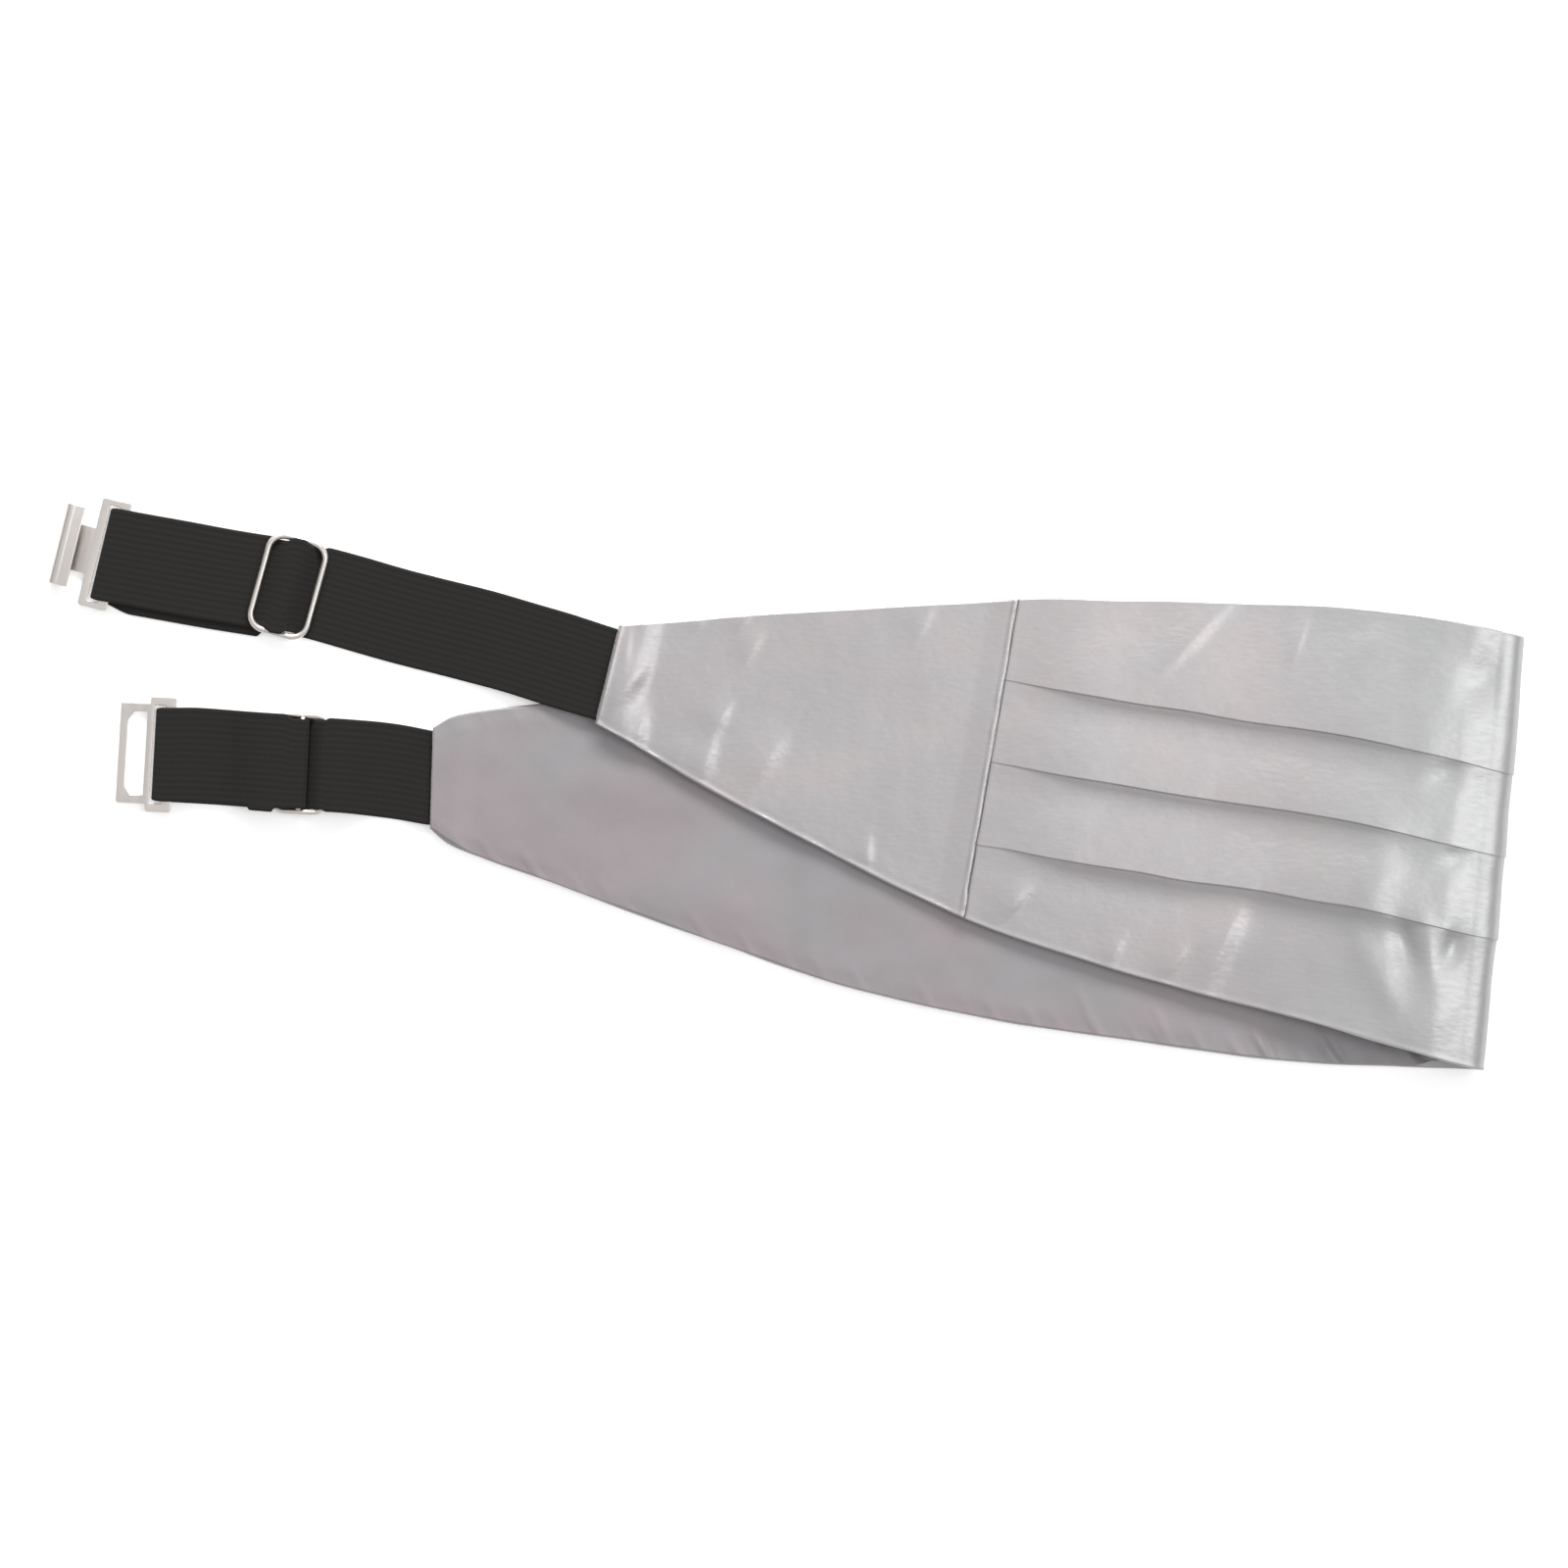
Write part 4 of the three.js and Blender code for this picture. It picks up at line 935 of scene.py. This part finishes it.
def plate_section(count=5):
    """Outline of a plate across its width: share across from 0 to 1 with its inset, and height."""
    quarter = np.linspace(0, np.pi / 2, count)
    inset = EDGE * (1 - np.cos(quarter))
    rise = PLATE / 2 - EDGE * (1 - np.sin(quarter))
    share = np.concatenate([np.zeros(count), np.ones(count), np.ones(count), np.zeros(count)])
    shift = np.concatenate([inset, -inset[::-1], -inset, inset[::-1]])
    height = np.concatenate([rise, rise[::-1], -rise, -rise[::-1]])
    return share, shift, height


def metal_frame(outer, inner, level):
    """A flat ring between two outlines with equally many points."""
    share, shift, height = plate_section()
    across = unit(outer - inner)
    flat = inner[:, None] + (outer - inner)[:, None] * share[None, :, None]
    flat = flat + across[:, None] * shift[None, :, None]
    z = np.broadcast_to(height[None, :, None], flat.shape[:2] + (1,)) + np.reshape(level, (-1, 1, 1))
    return np.concatenate([flat, z], -1)


def bent_strip(line, width):
    """A strip of sheet metal along a line in the plane along the elastic and upwards."""
    line = np.array(line, float)
    tangent = unit(np.gradient(line, axis=0))
    normal = np.stack([-tangent[:, 1], tangent[:, 0]], -1)
    share, shift, height = plate_section()
    side = (share - 0.5) * width + shift
    xz = line[:, None] + normal[:, None] * height[:, None]
    y = np.broadcast_to(side[None], xz.shape[:2])
    return np.stack([xz[..., 0], y, xz[..., 1]], -1)


def rounded_line(points, spacing=0.3, radius=0.8):
    """A line through corner points, with each corner cut by a short curve, evenly spaced."""
    points = np.array(points, float)
    track, t = [points[:1]], np.linspace(0, 1, 6)[:, None]
    for before, here, after in zip(points, points[1:], points[2:]):
        reach = min(radius, np.linalg.norm(here - before) / 2, np.linalg.norm(after - here) / 2)
        start, stop = here + reach * unit(before - here), here + reach * unit(after - here)
        track.append(mix(mix(start, here, t), mix(here, stop, t), t))
    track = np.concatenate([*track, points[-1:]])
    length = np.concatenate([[0], np.cumsum(np.linalg.norm(np.diff(track, axis=0), axis=1))])
    keep = np.concatenate([[True], np.diff(length) > 1e-6])
    even = np.linspace(0, length[-1], max(int(length[-1] / spacing), 4))
    return np.stack([np.interp(even, length[keep], track[keep][:, k]) for k in range(2)], -1)


SLOT_HALF = ELASTIC_WIDTH / 2 + 0.6


def clasp_frame(left, right, arm, left_bar, wrapped_bar, radius=1.0):
    """The plate round the slot that the elastic goes through, X away from the elastic's end."""
    outer, _ = rounded_rectangle(right, left, SLOT_HALF + arm, radius)
    inner, _ = rounded_rectangle(right + wrapped_bar, left - left_bar, SLOT_HALF, 0.5)
    return metal_frame(outer, inner, PLATE_LEVEL)


def place_clasp(name, strap, grids):
    """A clasp from grids in its own axes, at the end of its elastic. Each comes with closed or not."""
    return make_piece(name, [
        ring_mesh(place_on_strap(grid, strap, strap["length"], strap["clasp_turn"], 0), closed)
        for grid, closed in grids])


print("plate", PLATE, "mm thick, slot", 2 * SLOT_HALF, "mm long")

# %% [markdown]
# The hook is the end of the sheet rolled up and back over itself, so that from above it shows a wide
# rounded bar with the sheet's edge as a bright line, and a dark gap to the neck beneath.

# %% The hook clasp
HOOK_RADIUS = 2.2
HOOK_REACH = 14.1
HOOK_LIP = 6.2
HOOK_BAR = 3.3  # outer edge of the frame on the hook's side
HOOK_WIDTH = 26
LIP_RISE = 1.4  # how far the lip's end lies above the roll's middle
NECK_WIDTH = 15
NECK_START, NECK_TOP, NECK_FOOT = -2.2, 0.6, 4.3  # along the neck from the frame's outer edge
HAIR = 0.01  # keeps two faces from lying in one plane
NECK_SINK = 0.012  # the same, between the neck and the frame


def make_hook_clasp():
    """Frame, neck and rolled hook. The roll is an arc from the underside, up and back to the lip."""
    low = PLATE / 2
    curl = HOOK_RADIUS - low
    centre = HOOK_REACH - HOOK_RADIUS
    angle = np.pi * np.linspace(-0.5, 0.62, 22)
    rolled = np.stack([centre + curl * np.cos(angle), HOOK_RADIUS + curl * np.sin(angle)], -1)
    lip_end = np.array([HOOK_REACH - HOOK_LIP, HOOK_RADIUS + LIP_RISE])
    lip_line = mix(rolled[-1], lip_end, np.linspace(0, 1, 10)[1:, None])
    inward = np.stack([np.linspace(centre - HOOK_RADIUS, centre, 8)[:-1], np.full(7, low)], -1)
    neck = rounded_line([
        (HOOK_BAR + NECK_START, PLATE_LEVEL - NECK_SINK),
        (HOOK_BAR + NECK_TOP, PLATE_LEVEL - NECK_SINK),
        (HOOK_BAR + NECK_FOOT, low + HAIR),
        (centre - HOOK_RADIUS + 0.6, low + HAIR),
    ], radius=1.4)
    frame_grid = clasp_frame(left=HOOK_BAR, right=-6.2, arm=2.0, left_bar=2.7, wrapped_bar=3.4)
    roll_grid = bent_strip(np.concatenate([inward, rolled, lip_line]), HOOK_WIDTH)
    return place_clasp("hook_clasp_metal", HOOK_STRAP, [
        (frame_grid, True), (bent_strip(neck, NECK_WIDTH), False), (roll_grid, False)])


hook_clasp_metal = make_hook_clasp()

# %% [markdown]
# The eye is one flat loop beside the frame, a little lower, with two bends in its long sides. Its far
# corners are cut off inside, where the hook slips in.

# %% The eye clasp
EYE_REACH = 11.3
EYE_BAR = 1.9  # outer edge of the frame on the eye's side
EYE_WIDTH = 32
EYE_OPENING = 26.6
EYE_NEAR_BAR, EYE_FAR_BAR = 1.6, 2.5
EYE_OVERLAP = 0.8  # how far the loop reaches over the frame
CORNER_CUT = (1.9, 2.6)  # off the opening's far corners, along and across


def make_eye_clasp():
    """Frame and loop. The loop's level falls from the frame's to the surface in two bends."""
    near = EYE_BAR - EYE_OVERLAP
    opening_near, opening_far = near + EYE_NEAR_BAR, EYE_REACH - EYE_FAR_BAR
    outer, _ = rounded_rectangle(near, EYE_REACH, EYE_WIDTH / 2, 0.7)
    inner, _ = rounded_rectangle(opening_near, opening_far, EYE_OPENING / 2, 0.3)
    x, y = inner.T
    cut = np.clip((x - opening_far) / CORNER_CUT[0] + 1, 0, 1) * CORNER_CUT[1]
    y = np.sign(y) * np.minimum(np.abs(y), EYE_OPENING / 2 - cut)
    loop = metal_frame(outer, np.stack([x, y], -1), 0)
    stretch = (loop[..., 0] - opening_near) / (opening_far - opening_near)
    low, halfway = PLATE / 2, mix(PLATE_LEVEL, PLATE / 2, 0.5)
    levels = [PLATE_LEVEL - HAIR, halfway, halfway, low]
    loop[..., 2] += np.interp(stretch, [-0.1, 0.25, 0.55, 1.05], levels)
    frame_grid = clasp_frame(left=EYE_BAR, right=-6.5, arm=2.75, left_bar=1.3, wrapped_bar=3.4)
    return place_clasp("eye_clasp_metal", EYE_STRAP, [(frame_grid, True), (loop, True)])


eye_clasp_metal = make_eye_clasp()

# %% [markdown]
# Shader maths reads best as formulas, so a small class wraps a socket and lets Python's operators add
# the Math nodes. Every other node comes from one method that takes its type, settings and inputs.

# %% A small shader language
class Value:
    """A socket of numbers that can be added, taken off and multiplied like a number."""

    def __init__(self, finish, socket):
        self.finish, self.socket = finish, socket

    def math(self, operation, *others):
        """The result of a Math node on this value and others."""
        return self.finish.node("ShaderNodeMath", {"operation": operation}, dict(enumerate((self, *others))))

    def __add__(self, other):
        return self.math("ADD", other)

    def __sub__(self, other):
        return self.math("SUBTRACT", other)

    def __rsub__(self, other):
        return self.finish.node("ShaderNodeMath", {"operation": "SUBTRACT"}, {0: other, 1: self})

    def __mul__(self, other):
        return self.math("MULTIPLY", other)

    __radd__, __rmul__ = __add__, __mul__


class Finish:
    """A material with one Principled shader."""

    def __init__(self, name, **fixed):
        self.material = bpy.data.materials.new(name)
        self.material.use_nodes = True
        self.tree = self.material.node_tree
        self.shader = self.tree.nodes["Principled BSDF"]
        for socket, value in fixed.items():
            self.shader.inputs[socket.replace("_", " ")].default_value = value

    def node(self, kind, settings=None, inputs=None, output=0):
        """Adds a node, sets it, then fills its sockets with numbers, colours or links."""
        node = self.tree.nodes.new(kind)
        for name, value in (settings or {}).items():
            setattr(node, name, value)
        for name, value in (inputs or {}).items():
            if isinstance(value, Value):
                self.tree.links.new(value.socket, node.inputs[name])
            else:
                node.inputs[name].default_value = value
        return Value(self, node.outputs[output])

    def link(self, name, value):
        """Leads a value to a socket of the shader."""
        self.tree.links.new(value.socket, self.shader.inputs[name])

    def report(self):
        """The material, once its number of nodes is printed."""
        print(self.material.name, len(self.tree.nodes), "nodes")
        return self.material

    def place(self, scale=(1, 1, 1), source="Object"):
        """Coordinates on the piece, stretched by scale."""
        kind = "ShaderNodeUVMap" if source == "UV" else "ShaderNodeTexCoord"
        settings = {"uv_map": "cloth"} if source == "UV" else None
        found = self.node(kind, settings, output=0 if source == "UV" else source)
        return self.node("ShaderNodeMapping", None, {"Vector": found, "Scale": scale})

    def noise(self, scale, stretch=(1, 1, 1), source="Object", detail=2.0):
        """Noise between 0 and 1 with features about one scale-th of a metre wide."""
        place = self.place(stretch, source)
        return self.node("ShaderNodeTexNoise", None, {"Vector": place, "Scale": scale, "Detail": detail})

    def between(self, share, low, high):
        """The share's own range from low to high stretched to 0 to 1, with smooth ends."""
        return self.node("ShaderNodeMapRange", {"interpolation_type": "SMOOTHSTEP"}, {
            "Value": share, "From Min": low, "From Max": high})

    def blend(self, share, first, second):
        """A colour between two. Sockets 6 and 7 of a Mix node are its colours, output 2 is theirs."""
        first, second = ((*a, 1) if isinstance(a, tuple) else a for a in (first, second))
        return self.node("ShaderNodeMix", {"data_type": "RGBA"}, {0: share, 6: first, 7: second}, output=2)

    def bump(self, height, distance, strength, below=None):
        """A normal from a height between 0 and 1 that stands for distance metres."""
        inputs = {"Height": height, "Distance": distance, "Strength": strength}
        if below is not None:
            inputs["Normal"] = below
        return self.node("ShaderNodeBump", None, inputs)


def wave(finish, pitch, axis):
    """A sine wave from 0 to 1 along U (0) or V (1) of the cloth's own map, pitch in metres."""
    part = finish.node("ShaderNodeSeparateXYZ", None, {0: finish.place(source="UV")}, output=axis)
    return (part * (2 * math.pi / pitch)).math("SINE") * 0.5 + 0.5


print("a finish is written with", [name for name in vars(Finish) if not name.startswith("_")])

# %% [markdown]
# Satin has long floating threads along the sash and hardly any weave to see, so it is glossy, and its
# gloss is broken into fine streaks and small crinkles. Its grey is faintly mottled, cooler and pinker
# by turns. Beside the fold the colour is painted a neutral grey, because the base colour tints the
# highlights and the fold's bright highlights are neutral.

# %% Satin
SATIN_PINK = (0.450, 0.419, 0.424)
SATIN_GREY = (0.430, 0.418, 0.424)
# neutral grey painted beside the fold, so that the glossy highlights there are not tinted pink
SATIN_HIGHLIGHT_NEUTRAL = (0.425, 0.428, 0.428)
SATIN_SHADE = (0.35, 0.34, 0.34)
HIGHLIGHT_NEUTRAL_X = (0.15, 0.205)  # x in metres between which the colour turns to the neutral grey painted for the fold's highlights


def satin_finish():
    """Mottled grey, painted neutral beside the fold so that its highlights are not tinted, under fine
    streaks and crinkles.
    """
    finish = Finish("satin", IOR=1.5, Metallic=0.5)
    cloud = finish.between(finish.noise(26, detail=3.0), 0.36, 0.66)
    tint = finish.between(finish.noise(34, (1, 1.4, 1)), 0.4, 0.62)
    warm = finish.blend(tint, SATIN_PINK, SATIN_GREY)
    along = finish.node("ShaderNodeSeparateXYZ", None, {0: finish.place()}, output="X")
    # painted highlight tint: towards the fold the colour turns to the neutral grey
    base = finish.blend(finish.between(along, *HIGHLIGHT_NEUTRAL_X), warm, SATIN_HIGHLIGHT_NEUTRAL)
    finish.link("Base Color", finish.blend(cloud * 0.3, base, SATIN_SHADE))
    streaks = finish.noise(800, (0.3, 1, 1), "UV", detail=3.0)
    finish.link("Roughness", finish.between(streaks, 0.2, 0.8) * 0.08 + 0.35)
    threads = finish.bump(streaks, 0.0001, 0.5)
    crinkle = finish.bump(finish.noise(420, (1, 1.6, 1), detail=3.0), 0.0003, 0.26, threads)
    finish.link("Normal", finish.bump(finish.noise(140), 0.0006, 0.3, crinkle))
    return finish.report()


satin = satin_finish()

# %% [markdown]
# The lining is a plain taffeta with a soft sheen. Its mauve and grey drift into each other, as they do
# where a shot fabric catches the light, and its weave is a fine crossing of waves.

# %% Lining
LINING_MAUVE = (0.302, 0.262, 0.276)
LINING_GREY = (0.286, 0.276, 0.286)
LINING_SHADE = (0.22, 0.20, 0.205)
WEAVE = 0.00055  # metres from thread to thread


def lining_finish():
    """Two tints that drift into each other under a crossing of two sine waves."""
    finish = Finish("lining", IOR=1.45)
    drift = finish.between(finish.noise(16, (1, 1.3, 1), detail=2.5), 0.38, 0.62)
    base = finish.blend(drift, LINING_MAUVE, LINING_GREY)
    mottle = finish.between(finish.noise(60), 0.35, 0.7) * 0.16
    finish.link("Base Color", finish.blend(mottle, base, LINING_SHADE))
    weave = wave(finish, WEAVE, 0) * wave(finish, WEAVE, 1)
    finish.link("Roughness", weave * 0.1 + 0.5)
    soft = finish.bump(finish.noise(110), 0.0006, 0.3)
    finish.link("Normal", finish.bump(weave, 0.00005, 0.5, soft))
    return finish.report()


lining = lining_finish()

# %% [markdown]
# The elastic is matt black polyester. Besides its modelled ribs it has a short crosswise weave, and
# its colour is a shade lighter on the ribs' crowns.

# %% Elastic
BLACK = (0.0165, 0.0150, 0.0140)
CROWN_BLACK = (0.0212, 0.0192, 0.0178)
CROSS_WEAVE = 0.0011  # metres


def elastic_finish():
    """Black that is lighter on the ribs' crowns, where the sine wave across the elastic is high."""
    finish = Finish("elastic", Specular_IOR_Level=0.12, Sheen_Weight=0.04, Sheen_Roughness=0.6)
    ribs = wave(finish, ELASTIC_WIDTH / RIBS / 1000, 1)
    cross = wave(finish, CROSS_WEAVE, 0)
    fuzz = finish.noise(1500, source="UV", detail=3.0)
    crown = ribs * 0.5 + cross * 0.2 + fuzz * 0.3
    # a lighter black on the ribs' crowns, mixed with the cross weave and the fuzz
    finish.link("Base Color", finish.blend(finish.between(crown, 0.2, 0.9), BLACK, CROWN_BLACK))
    finish.link("Roughness", fuzz * 0.15 + 0.72)
    finish.link("Normal", finish.bump(cross * 0.6 + fuzz * 0.4, 0.00022, 0.7))
    return finish.report()


elastic = elastic_finish()

# %% [markdown]
# The metal is bright nickel plate on pressed steel: nearly a mirror, softened by fine tumbling marks.

# %% Nickel plate
NICKEL = (0.78, 0.735, 0.70)
CLOUDED_NICKEL = (0.64, 0.60, 0.57)


def metal_finish():
    """Metal whose colour and roughness are faintly clouded, with fine marks as relief."""
    finish = Finish("metal", Metallic=1.0)
    marks = finish.noise(700, detail=4.0)
    cloud = finish.noise(120)
    finish.link("Base Color", finish.blend(cloud, NICKEL, CLOUDED_NICKEL))
    finish.link("Roughness", finish.between(cloud, 0.3, 0.7) * 0.12 + 0.3)
    finish.link("Normal", finish.bump(marks, 0.00006, 0.4))
    return finish.report()


metal = metal_finish()

# %% [markdown]
# Now each piece gets its finish, rides on the one body, and stands for its solid in the frame. The flat
# areas that the cloth was cut to are worked out and printed.

DRESS = [
    (satin_front, satin, "satin", "front_panel_pleated"),
    (satin_side_hook, satin, "satin", "side_panel_hook_side"),
    (satin_side_eye, satin, "satin", "side_panel_eye_side"),
    (lining_cloth, lining, "lining", "lining"),
    (elastic_band_hook, elastic, "elastic", "elastic_hook_side"),
    (elastic_band_eye, elastic, "elastic", "elastic_eye_side"),
    (slider_wire_hook, metal, "metal", "slider_hook_side"),
    (slider_wire_eye, metal, "metal", "slider_eye_side"),
    (hook_clasp_metal, metal, "metal", "hook_clasp"),
    (eye_clasp_metal, metal, "metal", "eye_clasp"),
]
for piece, finish, slot, node in DRESS:
    piece.data.materials.append(finish)
    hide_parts(node)
    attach(piece, "root")


def pattern_area(half, start, stop, extra=0):
    """Flat area in square metres between two distances from the fold."""
    distance = np.linspace(start, stop, 400)
    return float(np.mean(body_height(half, distance) + extra) * abs(stop - start)) / 1e6


pleat_intake = 2 * MOUTH_DEPTH * PLEATS
front_area = sum(pattern_area(half, 0, half["seam"], pleat_intake) for half in (HOOK, EYE))
lining_area = sum(pattern_area(half, 0, half["length"]) for half in (HOOK, EYE))
side_area = pattern_area(HOOK, HOOK["seam"], HOOK["length"])
seam_height = float(body_height(HOOK, HOOK["seam"])) / 1000
print("flat areas", round(front_area, 4), round(side_area, 4), round(lining_area, 4), "square metres")

# %% [markdown]
# The sash lies on a plain pale surface under soft boxes. The largest stands beyond its upper edge, so
# that each pleat throws its shadow down the panel, and a second one at the fold's side lights the
# glossy round of the fold.

# %% Floor, lights and camera
floor_mesh = bpy.data.meshes.new("floor")
floor_mesh.from_pydata([(-2, -2, 0), (2, -2, 0), (2, 2, 0), (-2, 2, 0)], [], [(0, 1, 2, 3)])
floor = bpy.data.objects.new("floor", floor_mesh)
bpy.context.scene.collection.objects.link(floor)
paper = Finish("paper", Roughness=0.9, Base_Color=(0.93, 0.93, 0.93, 1), Specular_IOR_Level=0.1,
               Emission_Color=(1, 1, 1, 1), Emission_Strength=0.3)
floor_mesh.materials.append(paper.material)


HORIZON, ZENITH = 0.3, 0.8  # brightness of the room round the sash and above it


def soft_box(name, azimuth, elevation, distance, width, height, power):
    """An area light round the middle of the sash, turned to face it. Azimuth 0 is +Y, 90 is +X."""
    light = bpy.data.lights.new(name, "AREA")
    light.shape = "RECTANGLE"
    light.size, light.size_y, light.energy = width, height, power
    a, e = math.radians(azimuth), math.radians(elevation)
    place = np.array([math.sin(a) * math.cos(e), math.cos(a) * math.cos(e), math.sin(e)]) * distance
    box = bpy.data.objects.new(name, light)
    box.location = place
    box.rotation_euler = (math.pi / 2 - e, 0, math.pi - a)
    bpy.context.scene.collection.objects.link(box)


soft_box("box_above", azimuth=2, elevation=31, distance=1.6, width=1.3, height=0.5, power=27.5)
soft_box("box_fold_side", azimuth=88, elevation=56, distance=1.6, width=0.6, height=1.0, power=5.6)

world = bpy.data.worlds.new("studio")
world.use_nodes = True
nodes, links = world.node_tree.nodes, world.node_tree.links
background = nodes["Background"]
background.inputs["Color"].default_value = (1, 1, 1, 1)
direction = nodes.new("ShaderNodeTexCoord")
height = nodes.new("ShaderNodeSeparateXYZ")
level = nodes.new("ShaderNodeMapRange")
level.inputs["To Min"].default_value = HORIZON
level.inputs["To Max"].default_value = ZENITH
links.new(direction.outputs["Generated"], height.inputs[0])
links.new(height.outputs["Z"], level.inputs["Value"])
links.new(level.outputs[0], background.inputs["Strength"])
scene = bpy.context.scene
scene.world = world
scene.view_settings.view_transform = "Standard"

VIEW_WIDTH = 0.5
CAMERA_HEIGHT = 3.0
camera_data = bpy.data.cameras.new("camera")
camera_data.sensor_width = 36
camera_data.lens = camera_data.sensor_width * CAMERA_HEIGHT / VIEW_WIDTH
camera_data.clip_end = 20
camera = bpy.data.objects.new("camera", camera_data)
camera.location = (-0.0003, -0.0002, CAMERA_HEIGHT)
scene.collection.objects.link(camera)
scene.camera = camera
print("camera", CAMERA_HEIGHT, "m above the surface, sees", VIEW_WIDTH, "m")
